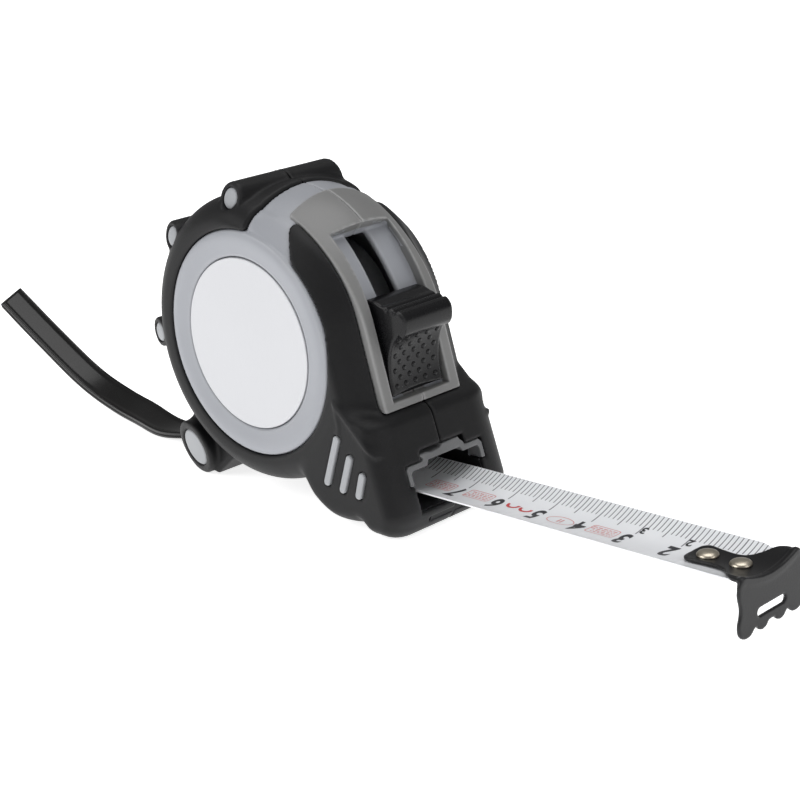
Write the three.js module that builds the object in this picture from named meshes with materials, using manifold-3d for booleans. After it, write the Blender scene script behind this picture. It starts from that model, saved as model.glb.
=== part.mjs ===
// A pocket tape measure: two-shell case with a soft grip, spring reel, curved steel blade with its end
// hook, thumb lock and wrist strap. Millimetres. +X is the way the blade pulls out, +Y is the tool's
// left, +Z is up. The base plane is z = 0 and the origin is under the middle of the tool as it stands.
import * as THREE from "three";
import { mergeVertices } from "three/addons/utils/BufferGeometryUtils.js";
import Module from "manifold-3d";

const wasm = await Module();
wasm.setup();

// ---- Driving dimensions ---------------------------------------------------------------------------
// Places in a side view are [x, z]. Those of the front are measured from the round body's foremost
// point, level with the reel's axis; z alone, where a comment says so, is above the base.
const GAP = 0.3; // between pieces that touch
const RUN = 0.4; // around pieces that move

// case
const BODY_R = 29; // round body, outside
const BODY_LIFT = 4; // round body above the base
const BODY_BACK = 0.9; // body centre behind the reel axis
const BODY_DROP = 0.2; // body centre below the reel axis
const SIDE_Y = 16.5; // half width at the side discs
const SHOULDER_Y = 6.7; // round shoulder behind, across
const SHOULDER_R = 5.8; // round shoulder behind, inwards
const CHAMFER_Y = 6.3; // straight shoulder in front, across
const CHAMFER_R = 6.1; // straight shoulder in front, inwards
const CHAMFER_FOOT = -14.2; // the straight shoulder ends inside the nose, below the reel axis
const SHELL_WALL = 2;
const GRIP_WALL = 1.6;
const FRAME_HALF = 10.2; // half width of the grey front frame
const FRAME_FOOT = [3.7, -9.7]; // where the front frame ends above the nose, from the body's front
const GRIP_FRONT_X = 1.8; // front edge of the rear grip on top of the case
const SPLIT_LINE = [[-12.9, 15.7], [-18.1, 24.2], [-13.6, 38.8]]; // grip panel's edge, from the body's front

// nose
const NOSE_PROUD = 0.3; // nose wider than the side discs, on each side
const NOSE_SHOULDER_Y = 6.8;
const NOSE_SHOULDER_R = 4.2;
const NOSE_TOP_X = 6.1; // front upper corner
const NOSE_TOE_X = 11.7; // front lower corner
const NOSE_REAR = { step: 1.2, from: -21, to: -52 }; // core's edge, inside the body's outline
const NOSE_CORE_FRONT = [[1.8, -12.8], [1.1, -12.2]]; // the flat side, inside the shoulder
const NOSE_CORE_TOE = [6.8, 5.2]; // z above the base
const NOSE_CORE_SOLE = [
  [-12, 9.6], [-10.1, 7.1], [-6.5, 5.2], [-2.7, 5.2], [-0.1, 5.9], [2.1, 5.6], [4.1, 4.2],
]; // z above the base
const NOSE_CORE_FOOT_X = 6.4; // front end of the flat foot
const NOSE_LEDGE = [[3.7, -9.8], [13.7, -11.8]]; // the nose's top stays below this line
const STRIPES = [[-3.6, 18.9, -6.9, 9.6], [-0.4, 15.7, -2.7, 9], [2.8, 12.9, 1.6, 8.8]]; // z above the base
const STRIPE_HALF = 0.75;

// side discs
const RING_R = 22.6;
const LABEL_R = 17.1;
const LABEL_T = 0.8;
const LABEL_DEPTH = 0.3; // label face below the ring's rim
const RING_LIP = 0.4; // dish of the ring down to the label

// rear bars and strap lug
const BAR_R = 3.1;
const BAR_INSET = 2.9; // bar's end inside the side discs
const BAR_OUT = [-0.8, 0, 1.2]; // bar's middle beyond the round body
const BAR_FIRST = 97.8;
const BAR_STEP = 44.5;
const CAP_R = 2.2;
const CAP_T = 1.2;
const CAP_PROUD = 0.3;
const LUG_OUT = 5.9; // lug's middle beyond the round body
const LUG_R = 5.9;
const LUG_CAP_R = 3.9;
const LUG_SLOT_HALF = 4.7;
const PIN_R = 1.3;
const PIN_GRIP = 3.8; // pin's hold in each wall of the lug

// front window and thumb lock; angles in degrees about the track's centre
const TRACK_CENTRE = [-45, -11.9]; // from the body's front
const TRACK_R = 46; // outer face of the rails
const RAIL_T = 1.3;
const WINDOW_HALF = 7.6;
const WINDOW_ANGLES = [4.4, 45.6];
const SLOT_HALF = 2.6;
const BUTTON_ANGLES = [5.4, 28.4];
const BUTTON_LIP = [5.8, 7.7]; // furthest point of the thumb lip, from the body's front
const CARRIER_ANGLES = [7, 26];
const CARRIER_T = 2;
const CARRIER_HALF = 6;
const SHOE_X = -7.7; // middle of the brake shoe's sole
const SHOE_ROOM = 3; // between the blade's middle and the shoe when the lock is off
const SHOE_SIZE = [4, 1.6];
const LEVER_T = 1.4;
const LEVER_HALF = 4;

// mouth
const MOUTH_ROOM = 1.3; // beside each edge of the blade
const MOUTH_LOW = 5; // above the base
const MOUTH_TOP = 12.9; // above the base
const MOUTH_STEP = [4.9, 1.3]; // raised middle: half width and height
const BRACKET_T = 1;
const BRACKET_DEPTH = 2.4;
const BRACKET_LEG_Z = 10.3;
const BUMPER = { half: 6.5, low: 2.2, high: 3.9, depth: 1.6 };

// reel
const ARBOR_R = 2.6;
const DRUM_R = 12.3;
const DRUM_WALL = 1.2;
const DRUM_ROOM = 0.6; // drum wider than the blade, on each side
const COIL_R = 17.5;
const SPRING_TURNS = 6;
const SPRING_T = 0.35;
const SPRING_ROOM = 1.2; // between the spring and each end of the drum

// blade, in its own frame: x back from the hook's face, z from the blade's edges
const BLADE_W = 16;
const BLADE_T = 0.3;
const BLADE_SAG = 1.9;
const BLADE_RISE = 1.5; // degrees that the pulled-out blade climbs
const BLADE_OUT = 82.5; // hook face from the body's front
const BLADE_EDGE_Z = 10.6; // the blade's edges at the hook, above the base
const BLADE_BEND_X = 5.9; // where the blade turns down to the reel, from the body's front
const BLADE_END = 1.8; // blade's end behind the hook's face
const BLADE_CORNER = [5.2, 1.4]; // clipped corners of the end: along and across

// hook
const HOOK_T = 0.8;
const HOOK_SIDE = 1.2; // hook wider than the blade, on each side
const HOOK_TOP = 1;
const HOOK_FLAT_Y = 7.2; // the hook's top lies flat beyond this width
const HOOK_DROP = 10.2;
const HOOK_TONGUE = 16.4;
const TONGUE_HALF = 3.1;
const HOOK_SLOT = { half: 3.3, z: -6.7, r: 0.75 };
const HOOK_PLAY = 0.8;
const RIVET_X = [6.2, 13];
const RIVET_HEAD_R = 1.95;
const RIVET_R = 0.9;

// screws: places in the side view, from the left
const SCREW_R = 0.9;
const SCREW_HEAD_R = 2;
const SCREW_HEAD_T = 1.3;
const SCREW_SINK = 4.1; // head's seat inside the side disc
const SCREW_END_Y = -8;
const SCREW_PILOT_Y = -9;
const BOSS_R = 2.6;
const BOSS_STEP = 5.1; // boss inside the round body
const BOSS_ANGLES = [95, 222];
const NOSE_SCREW_PLACE = [2.9, -15]; // from the body's front

// strap: middle line of the strap from its pin to its tip
const STRAP_HALF = 3.1;
const STRAP_T = 1.5;
const STRAP_RUN = [
  [-4.1, 3], [-14.9, 1.75], [-24.7, 2.4], [-34.9, 3.4], [-47.1, 6.7], [-62.1, 13.8], [-76.9, 21.5],
]; // from the round body's rearmost point; z above the base
const STRAP_END_SLOPE = 0.23; // how far the cut end leans back, as a share of the thickness
const STRAP_TILT = { degrees: 24, from: 4.1, to: 28.1 }; // the left edge lies higher
const STRAP_SWAY = { y: -2, x: 14.9, spread: 12 }; // sideways bow

// ---- Derived places -------------------------------------------------------------------------------
const rad = THREE.MathUtils.degToRad;
const AXIS_Z = BODY_LIFT + BODY_R + BODY_DROP;
const BODY = [-BODY_BACK, AXIS_Z - BODY_DROP];
const FRONT_X = BODY_R - BODY_BACK;
const REAR_X = -BODY_R - BODY_BACK;
const fromFront = ([x, z]) => [FRONT_X + x, AXIS_Z + z];
const [FRAME_FOOT_X, FRAME_FOOT_Z] = fromFront(FRAME_FOOT);
const TRACK = fromFront(TRACK_CENTRE);
const NOSE_SCREW = fromFront(NOSE_SCREW_PLACE);
const NOSE_HALF = SIDE_Y + NOSE_PROUD;
const NOSE_TOP_END = FRONT_X + NOSE_TOP_X;
const BAR_HALF = SIDE_Y - BAR_INSET;
const BAR_RINGS = BAR_OUT.map((out) => BODY_R + out);
const PIN_HALF = LUG_SLOT_HALF + PIN_GRIP;
const MOUTH_HALF = BLADE_W / 2 + MOUTH_ROOM;
const DRUM_HALF = BLADE_W / 2 + DRUM_ROOM;
const SPRING_HALF = DRUM_HALF - DRUM_WALL - SPRING_ROOM;
const HOOK_HALF = BLADE_W / 2 + HOOK_SIDE;
const BLADE_ZERO = [FRONT_X + BLADE_OUT, BLADE_EDGE_Z];
const SCREW_SEAT_Y = SIDE_Y - SCREW_SINK;
const STRAP_LINE = STRAP_RUN.map(([x, z]) => [REAR_X + x, z]);
function polar([x, z], radius, degrees) {
  return [x + radius * Math.cos(rad(degrees)), z + radius * Math.sin(rad(degrees))];
}

const LUG = polar(BODY, BODY_R + LUG_OUT, BAR_FIRST + BAR_RINGS.length * BAR_STEP);
const HOOK_FRONT_X = BLADE_ZERO[0] + HOOK_DROP * Math.sin(rad(BLADE_RISE));
const STRAP_REAR_X = STRAP_LINE.at(-1)[0] - STRAP_T * STRAP_END_SLOPE;
const CASE_X = -(HOOK_FRONT_X + STRAP_REAR_X) / 2; // reel axis from the origin
const CAVITY_HALF = SIDE_Y - SHELL_WALL - GRIP_WALL;
const CARRIER_OUT = TRACK_R - RAIL_T - 2 * GAP;
const FAR = 200; // a length that is surely outside

// ---- Solids ---------------------------------------------------------------------------------------
// A closed three.js geometry as a solid for joining and cutting.
function solid(geometry) {
  const bare = geometry.index ? geometry.toNonIndexed() : geometry.clone();
  bare.deleteAttribute("normal");
  bare.deleteAttribute("uv");
  const merged = mergeVertices(bare, 1e-4);
  const vertProperties = merged.attributes.position.array;
  const triVerts = new Uint32Array(merged.index.array);
  return new wasm.Manifold(new wasm.Mesh({ numProp: 3, vertProperties, triVerts }));
}

function geometryOf(shape) {
  const mesh = shape.getMesh();
  const geometry = new THREE.BufferGeometry();
  geometry.setAttribute("position", new THREE.BufferAttribute(mesh.vertProperties, 3));
  geometry.setIndex(new THREE.BufferAttribute(mesh.triVerts, 1));
  return geometry;
}

const joined = (...solids) => solids.reduce((all, one) => all.add(one));

function outline(points) {
  return new THREE.Shape(points.map(([a, b]) => new THREE.Vector2(a, b)));
}

function prism(shape, depth, curveSegments) {
  return new THREE.ExtrudeGeometry(shape, { depth, bevelEnabled: false, curveSegments });
}

// A side-view outline in x and z, carried across the tool from y = low to y = high.
function across(shape, low, high, curveSegments = 8) {
  const geometry = prism(shape, high - low, curveSegments);
  return solid(geometry.rotateX(Math.PI / 2).translate(0, high, 0));
}

// A front-view outline in y and z, carried along the tool from x = low to x = high.
function along(shape, low, high, curveSegments = 8) {
  const geometry = prism(shape, high - low, curveSegments);
  const axes = [new THREE.Vector3(0, 1, 0), new THREE.Vector3(0, 0, 1), new THREE.Vector3(1, 0, 0)];
  return solid(geometry.applyMatrix4(new THREE.Matrix4().makeBasis(...axes)).translate(low, 0, 0));
}

// A plan outline in x and y, carried up from z = low to z = high.
function upwards(shape, low, high, curveSegments = 8) {
  const geometry = prism(shape, high - low, curveSegments);
  return solid(geometry.translate(0, 0, low));
}

function box(x0, x1, y0, y1, z0, z1) {
  const geometry = new THREE.BoxGeometry(x1 - x0, y1 - y0, z1 - z0);
  return solid(geometry.translate((x0 + x1) / 2, (y0 + y1) / 2, (z0 + z1) / 2));
}

// A round bar across the tool at a side-view place.
function bar([x, z], radius, y0, y1, segments = 20) {
  return solid(new THREE.CylinderGeometry(radius, radius, y1 - y0, segments).translate(x, (y0 + y1) / 2, z));
}

// A turned piece about a line across the tool; the profile's points are [radius, y].
function turned(profile, [x, z], segments = 36) {
  const points = profile.map(([radius, y]) => new THREE.Vector2(radius, y));
  return solid(new THREE.LatheGeometry(points, segments).translate(x, 0, z));
}

// A slab across the tool whose edges are rounded like a pillow, made smaller all round by inset. The
// outline is the flat side's where start is 0, and the widest one where start is -shoulderR.
function pillow(shape, half, shoulderY, shoulderR, start, inset, curveSegments, bevelSegments = 3) {
  const flat = half - shoulderY;
  const geometry = new THREE.ExtrudeGeometry(shape, {
    depth: 2 * flat,
    curveSegments,
    bevelThickness: shoulderY - inset,
    bevelSize: shoulderR - inset,
    bevelOffset: start,
    bevelSegments,
  });
  return solid(geometry.translate(0, 0, -flat).rotateX(Math.PI / 2));
}

// A sector between two radii and two angles about a side-view place.
function sector([x, z], inner, outer, [from, to]) {
  const shape = new THREE.Shape();
  shape.absarc(x, z, outer, rad(from), rad(to), false);
  shape.absarc(x, z, inner, rad(to), rad(from), true);
  shape.closePath();
  return shape;
}

// ---- Case form ------------------------------------------------------------------------------------
// The round body runs into a straight front that is tangent to it and ends at the frame's foot.
function bodyOutline() {
  const run = [FRAME_FOOT_X - BODY[0], FRAME_FOOT_Z - BODY[1]];
  const tangent = Math.atan2(run[1], run[0]) + Math.acos(BODY_R / Math.hypot(...run));
  const shape = new THREE.Shape();
  shape.absarc(BODY[0], BODY[1], BODY_R, tangent, rad(290), false);
  shape.lineTo(NOSE_TOP_END - 1, MOUTH_TOP);
  shape.lineTo(FRAME_FOOT_X, FRAME_FOOT_Z);
  shape.closePath();
  return shape;
}

// The nose is given by its flat side; its rounded shoulder grows outwards from there.
function noseCore() {
  const { step, from, to } = NOSE_REAR;
  const sole = NOSE_CORE_SOLE.map(([x, z]) => new THREE.Vector2(FRONT_X + x, z));
  const shape = new THREE.Shape();
  shape.absarc(0, AXIS_Z, BODY_R - step, rad(from), rad(to), true);
  shape.lineTo(sole[0].x, sole[0].y);
  shape.splineThru(sole.slice(1));
  shape.lineTo(FRONT_X + NOSE_CORE_FOOT_X, sole.at(-1).y);
  shape.lineTo(FRONT_X + NOSE_CORE_TOE[0], NOSE_CORE_TOE[1]);
  NOSE_CORE_FRONT.map(fromFront).forEach(([x, z]) => shape.lineTo(x, z));
  shape.closePath();
  return shape;
}

// Round shoulders behind the grip's edge, straight ones in front of it.
function bodyForm(inset, curveSegments) {
  const front = box(GRIP_FRONT_X - GAP / 2, FAR, -FAR, FAR, AXIS_Z + CHAMFER_FOOT, FAR);
  const round = pillow(bodyOutline(), SIDE_Y, SHOULDER_Y, SHOULDER_R, -SHOULDER_R, inset, curveSegments);
  const straight = pillow(bodyOutline(), SIDE_Y, CHAMFER_Y, CHAMFER_R, -CHAMFER_R, inset, curveSegments, 1);
  return round.subtract(front).add(straight.intersect(front));
}

// Everything above the nose's ledge, made lower by inset.
function aboveLedge(inset) {
  const [[ax, az], [bx, bz]] = NOSE_LEDGE.map(fromFront);
  const rear = ax - 10;
  const corners = [[rear, az + 2 - inset], [ax, az - inset], [bx, bz - inset], [bx, FAR], [rear, FAR]];
  return across(outline(corners), -FAR, FAR);
}

function caseForm(inset) {
  const nose = pillow(noseCore(), NOSE_HALF, NOSE_SHOULDER_Y, NOSE_SHOULDER_R, 0, inset, 3);
  return bodyForm(inset, 17).add(nose.subtract(aboveLedge(inset)));
}

const barPlaces = BAR_RINGS.map((ring, i) => polar(BODY, ring, BAR_FIRST + i * BAR_STEP));

function lugForm() {
  const [lx, lz] = LUG;
  const [low, high] = [polar(BODY, BODY_R - 4, 253.5), polar(BODY, BODY_R - 5.3, 216.2)];
  const web = outline([[lx - LUG_R + 0.5, lz + 1], [lx + LUG_R - 1, lz - LUG_R + 0.7], low, high]);
  const lug = joined(bar(LUG, LUG_R, -BAR_HALF, BAR_HALF, 28), across(web, -BAR_HALF + 1.5, BAR_HALF - 1.5));
  const slot = box(-FAR, lx + LUG_R - 1.4, -LUG_SLOT_HALF, LUG_SLOT_HALF, -FAR, lz + LUG_R + 1);
  return lug.subtract(slot);
}

// ---- Zones of the grey shell that the grip leaves open -----------------------------------------------
function shellZone(grown) {
  const ring = bar([0, AXIS_Z], RING_R + grown, -FAR, FAR, 48);
  const [lower, corner, upper] = SPLIT_LINE.map(fromFront);
  const rear = GRIP_FRONT_X - grown;
  const inRing = lower[1] - 1; // a height that lies within the ring
  const wedge = outline([[rear, inRing], [lower[0] + grown, inRing], [lower[0] + grown, lower[1]],
    [corner[0] + grown, corner[1]], [upper[0] + grown, upper[1]], [rear, upper[1]]]);
  const foot = FRAME_FOOT_Z - grown;
  const frame = outline([[rear, inRing], [FRAME_FOOT_X - 7.8, foot], [FAR, foot], [FAR, FAR], [rear, FAR]]);
  const half = FRAME_HALF + grown;
  return joined(ring, across(wedge, -FAR, FAR), across(frame, -half, half));
}

// ---- Inside of the case -----------------------------------------------------------------------------
function cavity() {
  const rounded = bodyForm(SHELL_WALL + GRIP_WALL, 12).intersect(sectorSlab());
  const end = FRONT_X + 4.9;
  const run = outline([
    [2, AXIS_Z - 19.2], [FRONT_X - 16.1, 8.6], [FRONT_X - 8.1, 5.6], [end, MOUTH_LOW], [end, MOUTH_TOP],
    [FRONT_X + 1.5, MOUTH_TOP + 3.1], fromFront([0.5, -9.2]), fromFront([-10.1, -7.2]),
  ]);
  const angles = [WINDOW_ANGLES[0], WINDOW_ANGLES[1] - 1];
  const trackRoom = sector(TRACK, CARRIER_OUT - CARRIER_T - 2, TRACK_R - RAIL_T, angles);
  const half = CARRIER_HALF + RUN;
  return joined(rounded, across(run, -MOUTH_HALF, MOUTH_HALF), across(trackRoom, -half, half, 12));
}

// The room behind the rails: everything within the rails' inner face.
function sectorSlab() {
  return bar(TRACK, TRACK_R - RAIL_T, -FAR, FAR, 64);
}

function mouthOutline(grown) {
  const half = MOUTH_HALF + grown;
  const top = MOUTH_TOP + grown;
  const [stepHalf, stepUp] = [MOUTH_STEP[0] + grown, MOUTH_STEP[1]];
  return outline([
    [-half, MOUTH_LOW], [half, MOUTH_LOW], [half, top], [stepHalf, top],
    [stepHalf, top + stepUp], [-stepHalf, top + stepUp], [-stepHalf, top], [-half, top],
  ]);
}

function windowCut() {
  const pocket = across(sector(TRACK, TRACK_R, TRACK_R + 12, WINDOW_ANGLES), -WINDOW_HALF, WINDOW_HALF, 12);
  const slot = across(sector(TRACK, TRACK_R - 8, TRACK_R + 1, WINDOW_ANGLES), -SLOT_HALF, SLOT_HALF, 12);
  return pocket.add(slot);
}

const screwPlaces = [...BOSS_ANGLES.map((angle) => polar([0, AXIS_Z], BODY_R - BOSS_STEP, angle)), NOSE_SCREW];

function bosses() {
  return joined(...screwPlaces.slice(0, -1).map((place) => bar(place, BOSS_R, -SIDE_Y + 2, SIDE_Y - 2)));
}

function screwCuts() {
  const cuts = screwPlaces.map((place) => joined(
    bar(place, SCREW_R + GAP, SCREW_PILOT_Y, SIDE_Y, 12),
    bar(place, SCREW_HEAD_R + GAP, SCREW_SEAT_Y - GAP, SIDE_Y + 2, 16),
  ));
  return joined(...cuts);
}

function labelCut() {
  const face = SIDE_Y - LABEL_DEPTH - LABEL_T - GAP;
  const lip = SIDE_Y - RING_LIP;
  const reach = LABEL_R + GAP;
  const rim = RING_R - 1.2;
  const beyond = SIDE_Y + 1;
  const profile = [[0, face], [reach, face], [reach, lip], [rim, SIDE_Y], [rim, beyond], [0, beyond]];
  const left = turned(profile, [0, AXIS_Z], 48);
  return left.add(left.mirror([0, 1, 0]));
}

function stripeOutline([dx0, z0, dx1, z1], grown) {
  const [x0, x1] = [FRONT_X + dx0, FRONT_X + dx1];
  const r = STRIPE_HALF + grown;
  const lean = Math.atan2(z0 - z1, x0 - x1) - Math.PI / 2;
  const shape = new THREE.Shape();
  shape.absarc(x0, z0, r, lean, lean + Math.PI, false);
  shape.absarc(x1, z1, r, lean + Math.PI, lean + 2 * Math.PI, false);
  shape.closePath();
  return shape;
}

// ---- Case pieces ------------------------------------------------------------------------------------
const outerForm = caseForm(0);
const innerForm = caseForm(GRIP_WALL);
const mouthCut = along(mouthOutline(0), FRONT_X - 8.1, FAR);
const bracketX = NOSE_TOP_END - BRACKET_DEPTH + 2;
const bracketCut = along(mouthOutline(BRACKET_T + GAP), bracketX, FAR)
  .subtract(box(0, FAR, -FAR, FAR, -FAR, BRACKET_LEG_Z - GAP));
const pinCut = bar(LUG, PIN_R + GAP, -PIN_HALF - GAP, PIN_HALF + GAP);
const arborSeat = bar([0, AXIS_Z], ARBOR_R + GAP, -CAVITY_HALF - 1, CAVITY_HALF + 1, 24);

const capPlaces = barPlaces.map((place) => ({ place, radius: CAP_R }));
capPlaces.push({ place: LUG, radius: LUG_CAP_R });

function capPockets() {
  const floor = BAR_HALF + CAP_PROUD - CAP_T - GAP;
  const left = joined(...capPlaces.map(({ place, radius }) => bar(place, radius + GAP, floor, FAR)));
  return left.add(left.mirror([0, 1, 0]));
}

function shells() {
  const skin = outerForm.intersect(shellZone(0)).add(innerForm);
  return skin
    .subtract(cavity().subtract(bosses()))
    .subtract(joined(windowCut(), mouthCut, bracketCut, labelCut(), screwCuts(), capPockets(), arborSeat));
}

function grips() {
  const bars = joined(...barPlaces.map((place) => bar(place, BAR_R, -BAR_HALF, BAR_HALF, 24)));
  const stripePockets = joined(...STRIPES.map((stripe) => across(stripeOutline(stripe, GAP), -FAR, FAR, 5)));
  const lug = lugForm();
  const skin = joined(outerForm, bars, lug)
    .subtract(caseForm(GRIP_WALL - GAP))
    .subtract(shellZone(GAP))
    .subtract(joined(mouthCut, bracketCut, screwCuts(), pinCut, bumperCut(GAP)));
  return skin.subtract(joined(capPockets(), stripePockets)).intersect(box(-FAR, FAR, -FAR, FAR, 0, FAR));
}

function bumperCut(grown) {
  const toe = FRONT_X + NOSE_TOE_X;
  const { half, low, high, depth } = BUMPER;
  const rear = toe - depth - 0.6;
  return box(rear - grown, toe + 1, -half - grown, half + grown, low - grown, high + grown);
}

const rightHalf = box(-FAR, FAR, -FAR, -GAP / 2, -FAR, FAR);
const leftHalf = box(-FAR, FAR, GAP / 2, FAR, -FAR, FAR);

// ---- Front pieces -----------------------------------------------------------------------------------
function mouthFrame() {
  const ring = along(mouthOutline(BRACKET_T), bracketX + GAP, FAR)
    .subtract(along(mouthOutline(0), 0, FAR))
    .subtract(box(0, FAR, -FAR, FAR, -FAR, BRACKET_LEG_Z));
  return ring.intersect(outerForm);
}

function mouthBumper() {
  return bumperCut(0).intersect(caseForm(0.2));
}

function lockButton() {
  const [low, high] = BUTTON_ANGLES;
  const seat = TRACK_R + GAP;
  const foot = polar(TRACK, seat + 1.6, low);
  const crown = polar(TRACK, seat + 1.2, high);
  const [lx, lz] = fromFront(BUTTON_LIP);
  const side = new THREE.Shape();
  side.absarc(TRACK[0], TRACK[1], seat, rad(high), rad(low), true);
  side.lineTo(...foot);
  side.quadraticCurveTo(foot[0] - 1.6, foot[1] + 7, lx - 1.9, lz - 3.2);
  side.lineTo(lx - 0.4, lz - 1.6);
  side.quadraticCurveTo(lx + 0.3, lz, lx - 0.7, lz + 1.2);
  const steps = 3;
  const run = [crown[0] - (lx - 0.7), crown[1] - (lz + 1.2)];
  for (let i = 1; i <= steps; i++) {
    const [x, z] = [lx - 0.7 + (run[0] * i) / steps, lz + 1.2 + (run[1] * i) / steps];
    side.lineTo(x + 0.35, z - 0.5);
    side.lineTo(x, z);
  }
  side.closePath();
  const half = WINDOW_HALF - RUN;
  const stemAngles = [low + 3, high - 3];
  const stemSector = sector(TRACK, TRACK_R - RAIL_T - GAP, seat + 1, stemAngles);
  const stem = across(stemSector, -SLOT_HALF + RUN, SLOT_HALF - RUN);
  return across(side, -half, half).add(stem);
}

function lockCarrier() {
  const side = sector(TRACK, CARRIER_OUT - CARRIER_T, CARRIER_OUT, CARRIER_ANGLES);
  return across(side, -CARRIER_HALF, CARRIER_HALF);
}

// A place in the blade's frame as a side-view place.
function fromBlade([x, z]) {
  const [c, s] = [Math.cos(rad(BLADE_RISE)), Math.sin(rad(BLADE_RISE))];
  return [BLADE_ZERO[0] + x * c - z * s, BLADE_ZERO[1] + x * s + z * c];
}

// The sole's middle and slope, above the strip's middle line on its way from the reel.
function shoeSeat() {
  const { bend, touch } = bladePath();
  const [low, high] = [touch, [bend[0], bend[1] - BLADE_SAG]].map(fromBlade);
  const slope = (high[1] - low[1]) / (high[0] - low[0]);
  const x = FRONT_X + SHOE_X;
  return { x, z: low[1] + slope * (x - low[0]) + SHOE_ROOM, slope };
}

function brakeLever() {
  const top = polar(TRACK, CARRIER_OUT - CARRIER_T / 2, CARRIER_ANGLES[0] - 0.6);
  const seat = shoeSeat();
  const foot = [seat.x, seat.z + SHOE_SIZE[1] + GAP];
  const t = LEVER_T / 2;
  const arm = outline([
    [top[0] - t, top[1]], [foot[0] - t, foot[1] + 2], [foot[0] - 1.6, foot[1] + 1], [foot[0] - 1.6, foot[1]],
    [foot[0] + 1.6, foot[1]], [foot[0] + t + 0.4, foot[1] + 2], [top[0] + t, top[1] - 1.4],
  ]);
  return across(arm, -LEVER_HALF, LEVER_HALF);
}

function brakeShoe() {
  const { x, z, slope } = shoeSeat();
  const [length, height] = SHOE_SIZE;
  const [rear, front] = [x - length / 2, x + length / 2];
  const fall = (slope * length) / 2;
  const sole = outline([[rear, z - fall], [front, z + fall], [front, z + height], [rear, z + height]]);
  return across(sole, -LEVER_HALF, LEVER_HALF);
}

// ---- Reel -------------------------------------------------------------------------------------------
const AXIS = [0, AXIS_Z];

function reelDrum() {
  const hub = ARBOR_R + RUN;
  const inner = DRUM_R - DRUM_WALL;
  const web = DRUM_HALF - DRUM_WALL;
  const rim = -DRUM_HALF + DRUM_WALL + GAP;
  return turned([[hub, web], [inner, web], [inner, rim], [DRUM_R, rim],
    [DRUM_R, DRUM_HALF], [hub, DRUM_HALF], [hub, web]], AXIS);
}

function reelCover() {
  const hub = ARBOR_R + RUN;
  return turned([[hub, -DRUM_HALF], [DRUM_R, -DRUM_HALF], [DRUM_R, -DRUM_HALF + DRUM_WALL],
    [hub, -DRUM_HALF + DRUM_WALL], [hub, -DRUM_HALF]], AXIS);
}

function powerSpring() {
  const inner = ARBOR_R + RUN + 0.5;
  const outer = DRUM_R - DRUM_WALL - GAP - SPRING_T;
  const count = SPRING_TURNS * 18;
  const line = (offset) => Array.from({ length: count + 1 }, (_, i) => {
    const turn = (i / count) * SPRING_TURNS * 360;
    return polar(AXIS, inner + ((outer - inner) * i) / count + offset, turn);
  });
  return across(outline([...line(SPRING_T), ...line(0).reverse()]), -SPRING_HALF, SPRING_HALF);
}

function bladeCoil() {
  const half = BLADE_W / 2;
  const inner = DRUM_R + GAP;
  return turned([[inner, -half], [COIL_R, -half], [COIL_R, half], [inner, half], [inner, -half]], AXIS, 48);
}

function springArbor() {
  const slit = box(-0.4, 0.4, -SPRING_HALF, SPRING_HALF, AXIS_Z, AXIS_Z + ARBOR_R + 1);
  return bar(AXIS, ARBOR_R, -CAVITY_HALF - 0.6, CAVITY_HALF + 0.6, 24).subtract(slit);
}

// ---- Blade and hook, in the blade's own frame --------------------------------------------------------
const sagRadius = (BLADE_W ** 2 / 4 + BLADE_SAG ** 2) / (2 * BLADE_SAG);
const bladeZ = (y) => sagRadius - BLADE_SAG - Math.sqrt(sagRadius ** 2 - y ** 2);

const hookZ = (y) => bladeZ(Math.min(Math.abs(y), HOOK_FLAT_Y));

// A strip between two offsets above a curved line, as a y, z outline.
function curvedSection(line, low, high, half, count = 10) {
  const ys = Array.from({ length: count + 1 }, (_, i) => -half + (2 * half * i) / count);
  return outline([...ys.map((y) => [y, line(y) + low]), ...ys.reverse().map((y) => [y, line(y) + high])]);
}

// The strip leaves the reel as a tangent to the coil and turns into the straight, pulled-out length.
function bladePath() {
  const rise = rad(BLADE_RISE);
  const bend = [BLADE_BEND_X - BLADE_OUT, 0];
  const axis = new THREE.Vector2(-BLADE_ZERO[0], AXIS_Z - BLADE_ZERO[1]);
  axis.rotateAround(new THREE.Vector2(), -rise);
  const coil = COIL_R + RUN + BLADE_T / 2;
  const reach = Math.hypot(bend[0] - axis.x, bend[1] - BLADE_SAG - axis.y);
  const angle = Math.atan2(bend[1] - BLADE_SAG - axis.y, bend[0] - axis.x) - Math.acos(coil / reach);
  const touch = [axis.x + coil * Math.cos(angle), axis.y + coil * Math.sin(angle)];
  return { bend, touch };
}

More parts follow.
